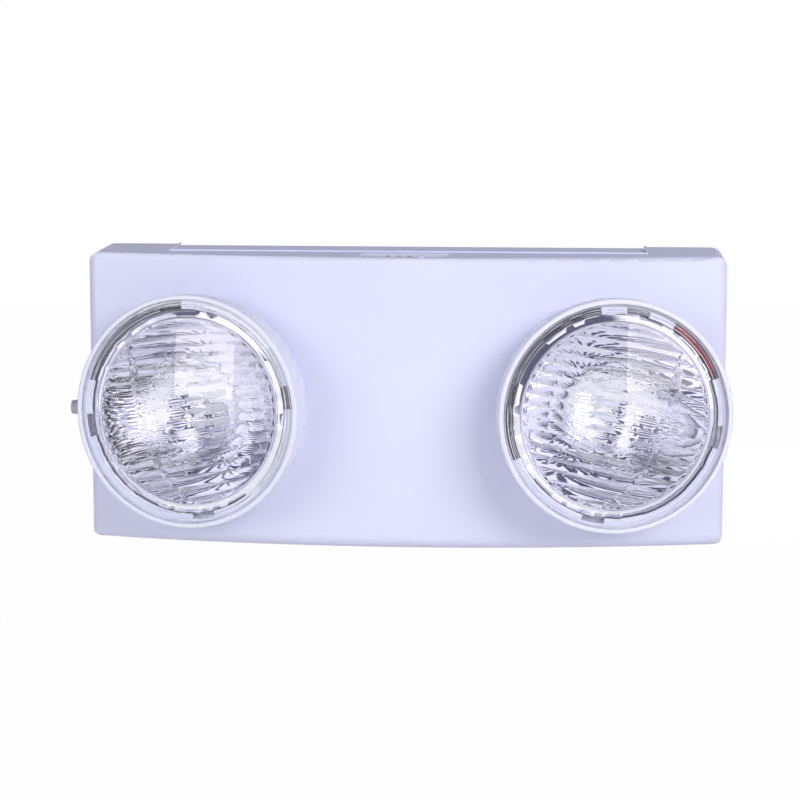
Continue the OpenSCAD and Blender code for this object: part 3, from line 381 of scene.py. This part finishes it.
# Materials
class Tree:
    """A material's node tree with one Principled shader at its end"""

    def __init__(self, name):
        self.mat = bpy.data.materials.new(name)
        self.mat.use_nodes = True
        self.nodes = self.mat.node_tree.nodes
        self.links = self.mat.node_tree.links
        self.nodes.clear()
        self.out = self.nodes.new("ShaderNodeOutputMaterial")
        self.skin = self.nodes.new("ShaderNodeBsdfPrincipled")
        self.links.new(self.skin.outputs[0], self.out.inputs["Surface"])
        self.coord = self.nodes.new("ShaderNodeTexCoord").outputs["Object"]
        self.last_normal = None

    def set(self, **values):
        for name, value in values.items():
            self.skin.inputs[name.replace("_", " ")].default_value = value

    def mapping(self, kind, value):
        """The object's coordinates with one input of a Mapping node set"""
        m = self.nodes.new("ShaderNodeMapping")
        m.inputs[kind].default_value = value
        self.links.new(self.coord, m.inputs["Vector"])
        return m.outputs[0]

    def noise(self, scale, detail, stretch=None):
        source = self.mapping("Scale", stretch) if stretch else self.coord
        return noise_node(self, source, scale, detail)

    def span(self, source, low, high):
        """Spreads a noise over a range of values"""
        return map_node(self, source, NOISE_LOW, NOISE_HIGH, low, high)

    def blend(self, source, low, high):
        """Spreads a noise over two colours"""
        r = self.nodes.new("ShaderNodeValToRGB")
        a, b = r.color_ramp.elements
        a.position, b.position = NOISE_LOW, NOISE_HIGH
        a.color, b.color = (*low, 1), (*high, 1)
        self.links.new(source, r.inputs["Fac"])
        return r.outputs["Color"]

    def bump(self, source, strength, depth):
        """Adds a relief to those before it. The depth is in metres."""
        b = self.nodes.new("ShaderNodeBump")
        b.inputs["Strength"].default_value = strength
        b.inputs["Distance"].default_value = depth
        self.links.new(source, b.inputs["Height"])
        if self.last_normal:
            self.links.new(self.last_normal, b.inputs["Normal"])
        self.last_normal = b.outputs["Normal"]
        self.links.new(self.last_normal, self.skin.inputs["Normal"])

    def feed(self, socket, source):
        self.links.new(source, self.skin.inputs[socket])

    def end_with(self, shader):
        self.links.new(shader, self.out.inputs["Surface"])


def shade(colour, share):
    return tuple(c * share for c in colour)


def plastic(name, colour, rough, grain=0.12, uneven=0.03, coat=0.0, gloss=0.5):
    """Moulded plastic: faint cloudiness, uneven gloss and a fine skin"""
    t = Tree(name)
    t.set(Coat_Weight=coat, Coat_Roughness=0.15, IOR=1.5, Specular_IOR_Level=gloss)
    t.feed("Base Color", t.blend(t.noise(14, 3), shade(colour, 1 - uneven), colour))
    t.feed("Roughness", t.span(t.noise(60, 3), rough - 0.04, rough + 0.05))
    t.bump(t.noise(2600, 2), grain, 0.00003)
    t.bump(t.noise(22, 1), 0.05, 0.0006)
    return t.mat


def metal(name, colour, rough):
    """Metal with a drawn grain along one direction"""
    t = Tree(name)
    t.set(Metallic=1.0)
    grain = t.noise(90, 4, (1, 30, 30))
    t.feed("Base Color", t.blend(t.noise(45, 3), shade(colour, 0.92), colour))
    t.feed("Roughness", t.span(grain, rough - 0.05, rough + 0.1))
    t.bump(grain, 0.15, 0.00002)
    return t.mat


def rubber(name, colour, rough):
    t = Tree(name)
    t.feed("Base Color", t.blend(t.noise(120, 3), shade(colour, 0.88), colour))
    t.feed("Roughness", t.span(t.noise(300, 2), rough - 0.06, rough + 0.08))
    t.bump(t.noise(2200, 2), 0.15, 0.00003)
    return t.mat


def board_material():
    """Green board with fine copper tracks under the mask"""
    t = Tree("board_green")
    t.set(Coat_Weight=0.3, Coat_Roughness=0.2)
    brick = t.nodes.new("ShaderNodeTexBrick")
    brick.inputs["Scale"].default_value = 260
    brick.inputs["Mortar Size"].default_value = 0.06
    brick.inputs["Color1"].default_value = (0.015, 0.13, 0.055, 1)
    brick.inputs["Color2"].default_value = (0.02, 0.16, 0.065, 1)
    brick.inputs["Mortar"].default_value = (0.05, 0.27, 0.10, 1)
    upright = t.mapping("Rotation", (math.radians(90), 0, 0))
    t.links.new(upright, brick.inputs["Vector"])
    t.feed("Base Color", brick.outputs["Color"])
    t.feed("Roughness", t.span(t.noise(400, 2), 0.3, 0.45))
    t.bump(brick.outputs["Fac"], 0.2, 0.00004)
    return t.mat


def chrome_material():
    """Vacuum coated reflector with a faint moulded ripple"""
    t = Tree("bright_reflector")
    t.set(Metallic=1.0, Roughness=0.045)
    t.feed("Base Color", t.blend(t.noise(30, 2), (0.815, 0.807, 0.89), (0.915, 0.907, 0.98)))
    t.bump(t.noise(60, 1), 0.03, 0.0005)
    return t.mat


def clear_material(name, colour):
    """Clear moulded plastic whose shadows are nearly clear, so that lamps shine through"""
    t = Tree(name)
    t.set(Transmission_Weight=1.0, IOR=1.49, Base_Color=(*colour, 1))
    t.feed("Roughness", t.span(t.noise(150, 2), 0.0, 0.02))
    t.bump(t.noise(50, 1), 0.008, 0.0004)
    path = t.nodes.new("ShaderNodeLightPath")
    open_way = t.nodes.new("ShaderNodeBsdfTransparent")
    open_way.inputs["Color"].default_value = (0.935, 0.938, 0.975, 1)
    t.end_with(mix_shaders(t, path.outputs["Is Shadow Ray"], t.skin.outputs[0],
                           open_way.outputs[0]))
    return t.mat


def lamp_material(name, colour):
    """Tinted see-through plastic of an indicator lamp"""
    t = Tree(name)
    t.set(Transmission_Weight=0.35, IOR=1.5)
    t.feed("Base Color", t.blend(t.noise(500, 2), shade(colour, 0.8), colour))
    t.feed("Roughness", t.span(t.noise(700, 2), 0.12, 0.2))
    return t.mat


def floor_material():
    """Matt white. The camera and shiny or clear things see it glow, so shadows hardly show."""
    t = Tree("floor_white")
    t.feed("Base Color", t.blend(t.noise(3, 2), (0.9, 0.9, 0.92), (0.93, 0.93, 0.94)))
    t.set(Roughness=0.9)
    path = t.nodes.new("ShaderNodeLightPath")
    glow = t.nodes.new("ShaderNodeEmission")
    glow.inputs["Color"].default_value = (1, 1, 1, 1)
    seen = math_node(t, "MAXIMUM", path.outputs["Is Camera Ray"], path.outputs["Is Glossy Ray"])
    seen = math_node(t, "MAXIMUM", seen, path.outputs["Is Transmission Ray"])
    share = math_node(t, "MULTIPLY", seen, FLOOR_GLOW)
    t.end_with(mix_shaders(t, share, t.skin.outputs[0], glow.outputs[0]))
    return t.mat


MATERIALS = {
    "white_plastic": plastic("white_plastic", (0.755, 0.762, 0.94), 0.4, gloss=0.25),
    # Shells: a paler copy of the white plastic. The paleness is painted light that makes their tops as bright as
    # the body; their lower roughness is their own gloss
    "lit_shell_plastic": plastic("lit_shell_plastic", (0.80, 0.805, 0.93), 0.26, grain=0.06, gloss=0.35),
    "grey_plastic": plastic("grey_plastic", (0.30, 0.30, 0.35), 0.4, uneven=0.08),
    "bushing_plastic": plastic("bushing_plastic", (0.50, 0.50, 0.55), 0.42, uneven=0.06),
    "dark_plastic": plastic("dark_plastic", (0.022, 0.022, 0.026), 0.42, uneven=0.2),
    "connector_cream": plastic("connector_cream", (0.72, 0.70, 0.60), 0.45, uneven=0.06),
    "sleeve_blue": plastic("sleeve_blue", (0.03, 0.11, 0.33), 0.28, uneven=0.12, coat=0.4),
    "emitter_yellow": plastic("emitter_yellow", (0.80, 0.81, 0.88), 0.4, uneven=0.05),
    "steel": metal("steel", (0.60, 0.61, 0.64), 0.32),
    "spring_steel": metal("spring_steel", (0.36, 0.37, 0.40), 0.3),
    "aluminium": metal("aluminium", (0.68, 0.69, 0.71), 0.38),
    "cell_case": metal("cell_case", (0.62, 0.63, 0.65), 0.3),
    "lead_red": rubber("lead_red", (0.86, 0.06, 0.11), 0.4),
    "lead_dark": rubber("lead_dark", (0.02, 0.02, 0.024), 0.45),
    "lead_grey": rubber("lead_grey", (0.26, 0.26, 0.29), 0.5),
    "board_green": board_material(),
    "bright_reflector": chrome_material(),
    "clear_plastic": clear_material("clear_plastic", (0.97, 0.975, 1.0)),
    "glass_tube": clear_material("glass_tube", (0.97, 0.98, 1.0)),
    "lamp_green": lamp_material("lamp_green", (0.50, 0.72, 0.56)),
    "lamp_amber": lamp_material("lamp_amber", (0.80, 0.70, 0.46)),
    "lamp_red": lamp_material("lamp_red", (0.76, 0.50, 0.50)),
    "board_white": plastic("board_white", (0.78, 0.79, 0.82), 0.3, uneven=0.05, coat=0.2),
}


def dress_nodes():
    """Every node gets its slot's material. Both shells get a glossier, paler white whose paleness is painted light
    """
    for name, obj in nodes.items():
        mat = MATERIALS["lit_shell_plastic" if name.endswith("shell") else slot_of[name]]
        obj.data.materials.clear()
        obj.data.materials.append(mat)
        for p in obj.data.polygons:
            p.material_index = 0


dress_nodes()


# Mesh helpers, in millimetres until the last step
def closed_mesh(name, verts, faces, matrix):
    """A mesh whose faces all point out"""
    mesh = bpy.data.meshes.new(name)
    m = np.array(matrix @ Matrix.Scale(MM, 4))
    v = np.asarray(verts, float) @ m[:3, :3].T + m[:3, 3]
    mesh.from_pydata(v.tolist(), [], [list(f) for f in faces])
    mesh.validate()
    bm = bmesh.new()
    bm.from_mesh(mesh)
    bmesh.ops.recalc_face_normals(bm, faces=bm.faces)
    bm.to_mesh(mesh)
    bm.free()
    return mesh


def finish_piece(name, verts, faces, matrix, mat, body, angle=SHARP_ANGLE):
    """A smooth piece that rides on a body, with sharp edges above an angle in degrees"""
    mesh = closed_mesh(name, verts, faces, matrix)
    mesh.materials.append(mat)
    mesh.polygons.foreach_set("use_smooth", [True] * len(mesh.polygons))
    mesh.set_sharp_from_angle(angle=math.radians(angle))
    obj = bpy.data.objects.new(name, mesh)
    link(obj)
    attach(obj, body)
    return obj


def lathe(profile, steps, closed):
    """Turns points (radius, height) round Z. A point at radius 0 is one vertex."""
    verts, rings = [], []
    for r, z in profile:
        if r < 1e-6:
            rings.append([len(verts)])
            verts.append((0, 0, z))
        else:
            rings.append(list(range(len(verts), len(verts) + steps)))
            for i in range(steps):
                a = 2 * math.pi * i / steps
                verts.append((r * math.cos(a), r * math.sin(a), z))
    faces = []
    for a, b in zip(rings, rings[1:] + (rings[:1] if closed else [])):
        for i in range(steps):
            j = (i + 1) % steps
            if len(a) == 1:
                faces.append((a[0], b[i], b[j]))
            elif len(b) == 1:
                faces.append((a[i], b[0], a[j]))
            else:
                faces.append((a[i], b[i], b[j], a[j]))
    return verts, faces


def arc(cx, cy, r, start, end, steps):
    """Points of an arc, angles in degrees"""
    out = []
    for i in range(steps + 1):
        a = math.radians(start + (end - start) * i / steps)
        out.append((cx + r * math.cos(a), cy + r * math.sin(a)))
    return out


def walls(steps, n):
    """Faces between steps + 1 loops of n vertices each"""
    faces = []
    for i in range(steps):
        for k in range(n):
            m = (k + 1) % n
            faces.append((i * n + k, i * n + m, (i + 1) * n + m, (i + 1) * n + k))
    return faces


def ends(count, n):
    """The first and the last loop of n out of count vertices, as faces"""
    return [tuple(range(n)), tuple(range(count - 1, count - n - 1, -1))]


def sector(profile, start, end):
    """A closed profile turned from one angle to another, in degrees"""
    steps = max(2, round((end - start) / 2))
    verts, n = [], len(profile)
    for i in range(steps + 1):
        a = math.radians(start + (end - start) * i / steps)
        verts += [(r * math.cos(a), r * math.sin(a), z) for r, z in profile]
    return verts, ends(len(verts), n) + walls(steps, n)


def cut(obj, cutter_mesh):
    """Takes a mesh's shape out of obj"""
    cutter = bpy.data.objects.new(cutter_mesh.name, cutter_mesh)
    link(cutter)
    mod = obj.modifiers.new("cut", "BOOLEAN")
    mod.operation = "DIFFERENCE"
    mod.solver = "EXACT"
    mod.object = cutter
    dg = bpy.context.evaluated_depsgraph_get()
    mesh = bpy.data.meshes.new_from_object(obj.evaluated_get(dg))
    old = obj.data
    obj.modifiers.clear()
    obj.data = mesh
    bpy.data.meshes.remove(old)
    bpy.data.objects.remove(cutter)


def pivot_frame(side_name):
    """Frame of a head's pivot: Z out of the body, Y along the tilt axis"""
    j = joints[side_name + "_swivel_turn"]
    z = Vector(j["axis"]).normalized()
    y = Vector(joints[side_name + "_head_tilt"]["axis"]).normalized()
    x = y.cross(z)
    turn = Matrix((x, y, z)).transposed().to_4x4()
    return Matrix.Translation(Vector(j["pos_m"])) @ turn


def bowl_frame(side_name):
    """Frame of a head at rest. In the middle of its tilt it stands square on its pivot."""
    low, high = joints[side_name + "_head_tilt"]["range_deg"]
    return pivot_frame(side_name) @ Matrix.Rotation(math.radians(-(low + high) / 2), 4, "Y")


# Reflector
def make_reflector(side_name):
    """Parabolic bowl with a rolled lip, a flange and a neck"""
    share = DISH_D / (MOUTH_R**2 - NECK_R**2)
    low = DISH_Z - DISH_D
    top = DISH_Z + DISH_T
    flange_r = MOUTH_R + DISH_FLANGE_W
    join_r = math.sqrt(NECK_R**2 + DISH_T / share)

    def parabola(i, from_r, drop):
        r = from_r + (MOUTH_R - from_r) * i / DISH_STEPS
        return r, low + share * (r * r - NECK_R**2) - drop

    inner = [parabola(i, NECK_R, 0) for i in range(DISH_STEPS + 1)]
    rim = arc(MOUTH_R + DISH_LIP_R, top - DISH_LIP_R, DISH_LIP_R, 180, 60, 6)
    rim[0] = (MOUTH_R, top - DISH_LIP_R)
    rim += [(MOUTH_R + 0.9, top - 0.45), (MOUTH_R + 1.2, top - 0.5)]
    rim += arc(flange_r - 0.3, top - 1.2, 0.3, 80, 0, 4)
    rim += [(flange_r, DISH_Z), (MOUTH_R + DISH_T / 2, DISH_Z)]
    outer = [parabola(i, join_r, DISH_T) for i in range(DISH_STEPS, -1, -1)]
    neck = [(NECK_FLANGE_R, low), (NECK_FLANGE_R, low - DISH_T), (NECK_R, low - DISH_T)]
    verts, faces = lathe(inner + rim + outer + neck, DISH_SIDES, True)
    obj = finish_piece(side_name + "_reflector_skin", verts, faces, bowl_frame(side_name),
                       MATERIALS["bright_reflector"], side_name + "_head")
    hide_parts(side_name + "_reflector")


# Lens
def rib_field(x, y, outer):
    """How far the lens's back bulges at a point. Ribs run along X, outer is the side of the
    long ones."""
    half = RIB_PITCH / 2
    k = np.round(y / RIB_PITCH)
    u = np.abs(y - k * RIB_PITCH) / half
    out = outer * x
    # Long plain ribs with round noses on the outer side
    nose = FINGER_X - FINGER_BEND * (k * RIB_PITCH) ** 2 * (y < 0)
    along = np.clip((nose + half - out) / half, 0, 2)
    far = np.hypot(along * (out > nose - half), u)
    finger = FINGER_H * np.clip(1 - far**FINGER_ROUND, 0, 1)
    # Short lens-shaped pillows inside a circle
    chord = np.sqrt(np.clip(PILLOW_R**2 - (k * RIB_PITCH) ** 2, 4, None))
    count = np.round(2 * chord / PILLOW_L)
    part = (out + PILLOW_IN + chord) / (2 * chord) * count
    w = (part - np.floor(part)) * 2 - 1
    inside = (part > 0) & (part < count)
    reach = PILLOW_END_W + (1 - PILLOW_END_W) * (1 - w * w)
    pillow = PILLOW_H * np.clip(1 - (u / reach) ** 2, 0, 1) * np.sqrt(np.clip(1 - w * w, 0, 1))
    centre = np.where(inside, RIDGE_H * (1 - u**2) + pillow, PLAIN_RIB_H * (1 - u**2))
    centre = centre * np.sqrt(np.clip((nose - out) / RIDGE_START, 0, 1))
    return np.where(out > nose, finger, centre)


def round_flange(a):
    """Rings of the lens outside its ribbed disc, from the back to the front, at the angles a.
    A height may differ from angle to angle."""
    b = FLANGE_ROUND
    top = FLANGE_Z + FLANGE_T
    face = DISC_Z + DISC_T
    # Four tabs, a quarter turn apart
    away = np.abs((a + math.pi / 4) % (math.pi / 2) - math.pi / 4)
    skirt_low = np.where(away * TAB_R < TAB_W / 2, TAB_LOW, FLANGE_Z - 0.3)
    skirt_in = TAB_R - TAB_T
    wave = FLANGE_WAVE * (np.sin(a * 7 + 1) + 0.8 * np.sin(a * 19 + 2) + 0.5 * np.sin(a * 37))
    return [
        (DISC_IN_R, DISC_Z - RIB_RIM_H), (DISC_R, DISC_Z),
        (skirt_in - 0.5, FLANGE_Z - 0.3 + wave), (skirt_in, FLANGE_Z - 0.1),
        (skirt_in, skirt_low + 0.2), (skirt_in + 0.2, skirt_low),
        (TAB_R - 0.2, skirt_low), (TAB_R, skirt_low + 0.2), (TAB_R, FLANGE_Z - 0.1),
        (TAB_R + 0.1, FLANGE_Z), (LENS_R - b, FLANGE_Z), (LENS_R, FLANGE_Z + b),
        (LENS_R, top - b), (LENS_R - b, top), (LENS_R - 1.9, top), (LENS_R - 2.1, top - 0.2),
        (FLANGE_IN_R + 0.6, top - 0.2), (FLANGE_IN_R + 0.4, top),
        (FLANGE_IN_R + 0.1, top - 0.12), (FLANGE_IN_R - 0.9, face + 0.35),
        (DISC_R + 1.2, face + 0.2 + wave), (DISC_R + 0.5, face + 0.12),
        (DISC_R, face - 0.02), (DISC_IN_R + 0.1, face),
    ]


def ribbed_grid(outer):
    """Vertices and quads of the lens's ribbed back"""
    cell_u = RIB_PITCH / GRID_PER_PITCH
    cell_v = GRID_ALONG
    rows = int(DISC_IN_R / cell_u) + 1
    cols = int(DISC_IN_R / cell_v) + 1
    index, quads = {}, []

    def on_disc(i, j):
        return math.hypot(i * cell_v, j * cell_u) <= DISC_IN_R - GRID_MARGIN

    for i in range(-cols, cols):
        for j in range(-rows, rows):
            corners = ((i, j), (i + 1, j), (i + 1, j + 1), (i, j + 1))
            if all(on_disc(*c) for c in corners):
                quads.append(tuple(index.setdefault(c, len(index)) for c in corners))
    flat = np.array([(i * cell_v, j * cell_u) for i, j in index], float)
    fade = np.clip((DISC_IN_R - np.hypot(flat[:, 0], flat[:, 1])) / RIB_FADE, 0, 1)
    relief = rib_field(flat[:, 0], flat[:, 1], outer)
    back = DISC_Z - RIB_RIM_H - (relief - RIB_RIM_H) * fade
    return [(*p, z) for p, z in zip(flat, back)], quads


def edge_loop(quads):
    """The ragged edge of a grid, in order round it"""
    seen = {e for q in quads for e in zip(q, q[1:] + q[:1])}
    follow = {a: b for a, b in seen if (b, a) not in seen}
    start = min(follow)
    loop, at = [start], follow[start]
    while at != start:
        loop.append(at)
        at = follow[at]
    return loop


def make_lens(side_name, sign):
    verts, faces = ribbed_grid(sign)
    loop = edge_loop(faces)
    n = len(loop)
    angles = [math.atan2(verts[k][1], verts[k][0]) for k in loop]
    profile = round_flange(np.array(angles))
    for share in CROWN_SHARES:
        profile.append((DISC_IN_R * share, DISC_Z + DISC_T + CROWN * (1 - share**2)))
    rings = [loop]
    for r, z in profile:
        rings.append(list(range(len(verts), len(verts) + n)))
        heights = np.broadcast_to(z, n)
        verts += [(r * math.cos(a), r * math.sin(a), h) for a, h in zip(angles, heights)]
    for one, two in zip(rings, rings[1:]):
        faces += [(one[i], two[i], two[(i + 1) % n], one[(i + 1) % n]) for i in range(n)]
    last = rings[-1]
    verts.append((0, 0, DISC_Z + DISC_T + CROWN))
    faces += [(last[i], len(verts) - 1, last[(i + 1) % n]) for i in range(n)]
    matrix = bowl_frame(side_name) @ Matrix.Rotation(math.radians(RIB_ANGLE[side_name]), 4, "Z")
    obj = finish_piece(side_name + "_lens_optic", verts, faces, matrix,
                       MATERIALS["clear_plastic"], side_name + "_head",
                       LENS_SHARP_ANGLE)
    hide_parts(side_name + "_lens")


# Shell and the steps inside its rim
def make_shell(side_name):
    """Half ball with a rounded rim, a ledge for the lens and a slot for the pivot"""
    bevel, lip = SHELL_BEVEL, SHELL_LIP
    profile = [(0, -HEAD_R)] + arc(0, 0, HEAD_R, -90, 0, 60)[1:]
    profile += arc(HEAD_R - bevel, RIM_H - bevel, bevel, 0, 90, 8)
    profile += arc(SHELL_IN_R + lip, RIM_H - lip, lip, 90, 180, 4)
    profile += [(SHELL_IN_R, FLANGE_Z), (LEDGE_R + 0.15, FLANGE_Z), (LEDGE_R, FLANGE_Z - 0.15)]
    profile += [(LEDGE_R, LEDGE_LOW), (SHELL_IN_R, LEDGE_LOW)]
    profile += arc(0, 0, SHELL_IN_R, 0, -90, 50)[:-1] + [(0, -SHELL_IN_R)]
    verts, faces = lathe(profile, SHELL_SIDES, False)
    place = bowl_frame(side_name)
    obj = finish_piece(side_name + "_shell_skin", verts, faces, place,
                       MATERIALS["lit_shell_plastic"], side_name + "_head")
    reach = HEAD_R * math.sin(math.radians(SLOT_ANGLE))
    outline = arc(reach, 0, SLOT_R, -90, 90, 16) + arc(-reach, 0, SLOT_R, 90, 270, 16)
    n = len(outline)
    verts = [(x, y, z) for z in (-HEAD_R - 1, SLOT_TOP) for x, y in outline]
    cut(obj, closed_mesh("slot_cutter", verts, ends(2 * n, n) + walls(1, n), place))
    obj.data.set_sharp_from_angle(angle=math.radians(SHARP_ANGLE))
    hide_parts(side_name + "_shell")


def make_shelf(side_name):
    """White steps close under the clear flange, with gaps for the catches and the lead"""
    top, low, inner = SHELF_Z, SHELF_Z - SHELF_T, SHELF_IN_R
    outer = SHELL_IN_R + SHELF_INTO_SHELL
    shallow = [(inner, low), (outer, low), (outer, top - 0.3), (LEDGE_R - 0.1, top - 0.3),
               (LEDGE_R - 0.1, top), (inner + 1.5, top), (inner + 1.4, top - 0.25),
               (inner + 1.2, top - 0.25), (inner + 1.1, top), (inner + 0.15, top),
               (inner, top - 0.15)]
    deep = [(inner, TAB_LOW - CATCH_LOW), (outer, TAB_LOW - CATCH_LOW), (outer, top - 0.3),
            (TAB_R + 0.4, top - 0.3), (TAB_R + 0.3, top - 0.4),
            (TAB_R + 0.3, TAB_LOW - CATCH_GAP), (inner, TAB_LOW - CATCH_GAP)]
    parts = [(shallow, *arc_ends) for arc_ends in SHELF_ARCS[side_name]]
    parts += [(deep, *arc_ends) for arc_ends in CATCH_ARCS[side_name]]
    verts, faces = [], []
    for profile, start, end in parts:
        v, f = sector(profile, start, end)
        faces += [tuple(k + len(verts) for k in one) for one in f]
        verts += v
    finish_piece(side_name + "_bowl_steps", verts, faces, bowl_frame(side_name),
                 MATERIALS["lit_shell_plastic"], side_name + "_head")


for side_name, sign in SIDES:
    make_reflector(side_name)
    make_lens(side_name, sign)
    make_shell(side_name)
    make_shelf(side_name)


# Cord bushing
def make_bushing():
    """Neck with rings for a thread, collar and grooved sleeve, along Z out of the body's side"""
    low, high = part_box("cable_bushing")
    _, mid_y, mid_z = [(a + b) / 2 / MM for a, b in zip(low, high)]
    length = -low[0] / MM - BUSHING_FACE_X
    matrix = (Matrix.Translation(Vector((-BUSHING_FACE_X, mid_y, mid_z)) * MM)
              @ Matrix.Rotation(-math.pi / 2, 4, "Y"))
    profile = [(BUSHING_BORE_R, -BUSHING_INSIDE), (THREAD_R, -BUSHING_INSIDE)]
    for i in range(THREAD_TURNS):
        z = -BUSHING_INSIDE + 0.5 + i * THREAD_PITCH
        profile += [(THREAD_R, z - 0.25), (THREAD_R - THREAD_DEPTH, z), (THREAD_R, z + 0.25)]
    profile += [(THREAD_R, 0.0), (COLLAR_R - 0.3, 0.0), (COLLAR_R, 0.3)]
    profile += arc(COLLAR_R - COLLAR_ROUND, COLLAR_T - COLLAR_ROUND, COLLAR_ROUND, 0, 90, 5)
    profile += [(SLEEVE_R + 0.3, COLLAR_T)]
    for i in range(GROOVES):
        z = GROOVE_START + i * GROOVE_PITCH
        r = SLEEVE_R - SLEEVE_TAPER * z / length
        profile += [(r + 0.05, z - 0.5), (r - GROOVE_DEPTH, z - 0.3),
                    (r - GROOVE_DEPTH, z + 0.3), (r + 0.02, z + 0.5)]
    profile += arc(SLEEVE_R - SLEEVE_TAPER - SLEEVE_TIP_ROUND, length - SLEEVE_TIP_ROUND,
                   SLEEVE_TIP_ROUND, 10, 90, 5)
    profile += [(BUSHING_BORE_R, length)]
    verts, faces = lathe(profile, BUSHING_SIDES, True)
    obj = finish_piece("cord_bushing_skin", verts, faces, matrix,
                       MATERIALS["bushing_plastic"], "housing")
    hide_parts("cable_bushing")


make_bushing()


# Return spring of the test button, drawn as a coil of one fixed length. The real spring shortens as the button
# goes in; this one does not
def make_spring():
    low, high = (np.array(v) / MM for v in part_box("button_spring"))
    wire, turns, sides = SPRING_WIRE_R, SPRING_TURNS, SPRING_SIDES
    r = (high[0] - low[0]) / 2 - wire
    rise = high[2] - low[2] - 2 * wire
    marks = np.array([0, 1, turns - 1, turns])
    heights = np.array([0, SPRING_END_PITCH, rise - SPRING_END_PITCH, rise])
    verts = []
    for i in range(turns * SPRING_STEPS + 1):
        a = 2 * math.pi * i / SPRING_STEPS
        z = wire + np.interp(i / SPRING_STEPS, marks, heights)
        for k in range(sides):
            b = 2 * math.pi * k / sides
            out = r + wire * math.cos(b)
            verts.append((out * math.cos(a), out * math.sin(a), z + wire * math.sin(b)))
    faces = walls(turns * SPRING_STEPS, sides) + ends(len(verts), sides)
    foot = Vector(((low[0] + high[0]) / 2, (low[1] + high[1]) / 2, low[2])) * MM
    obj = finish_piece("button_coil", verts, faces, Matrix.Translation(foot),
                       MATERIALS["spring_steel"], "housing")
    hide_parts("button_spring")
    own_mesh(obj)


make_spring()


# Floor
def make_floor():
    n = FLOOR_CELLS
    verts = [(FLOOR_SIZE * (i / n - 0.5), FLOOR_SIZE * (j / n - 0.5), FLOOR_Z)
             for i in range(n + 1) for j in range(n + 1)]
    corners = [i * (n + 1) + j for i in range(n) for j in range(n)]
    faces = [(a, a + n + 1, a + n + 2, a + 1) for a in corners]
    mesh = bpy.data.meshes.new("floor")
    mesh.from_pydata(verts, [], faces)
    mesh.materials.append(floor_material())
    floor = bpy.data.objects.new("floor", mesh)
    link(floor)


make_floor()
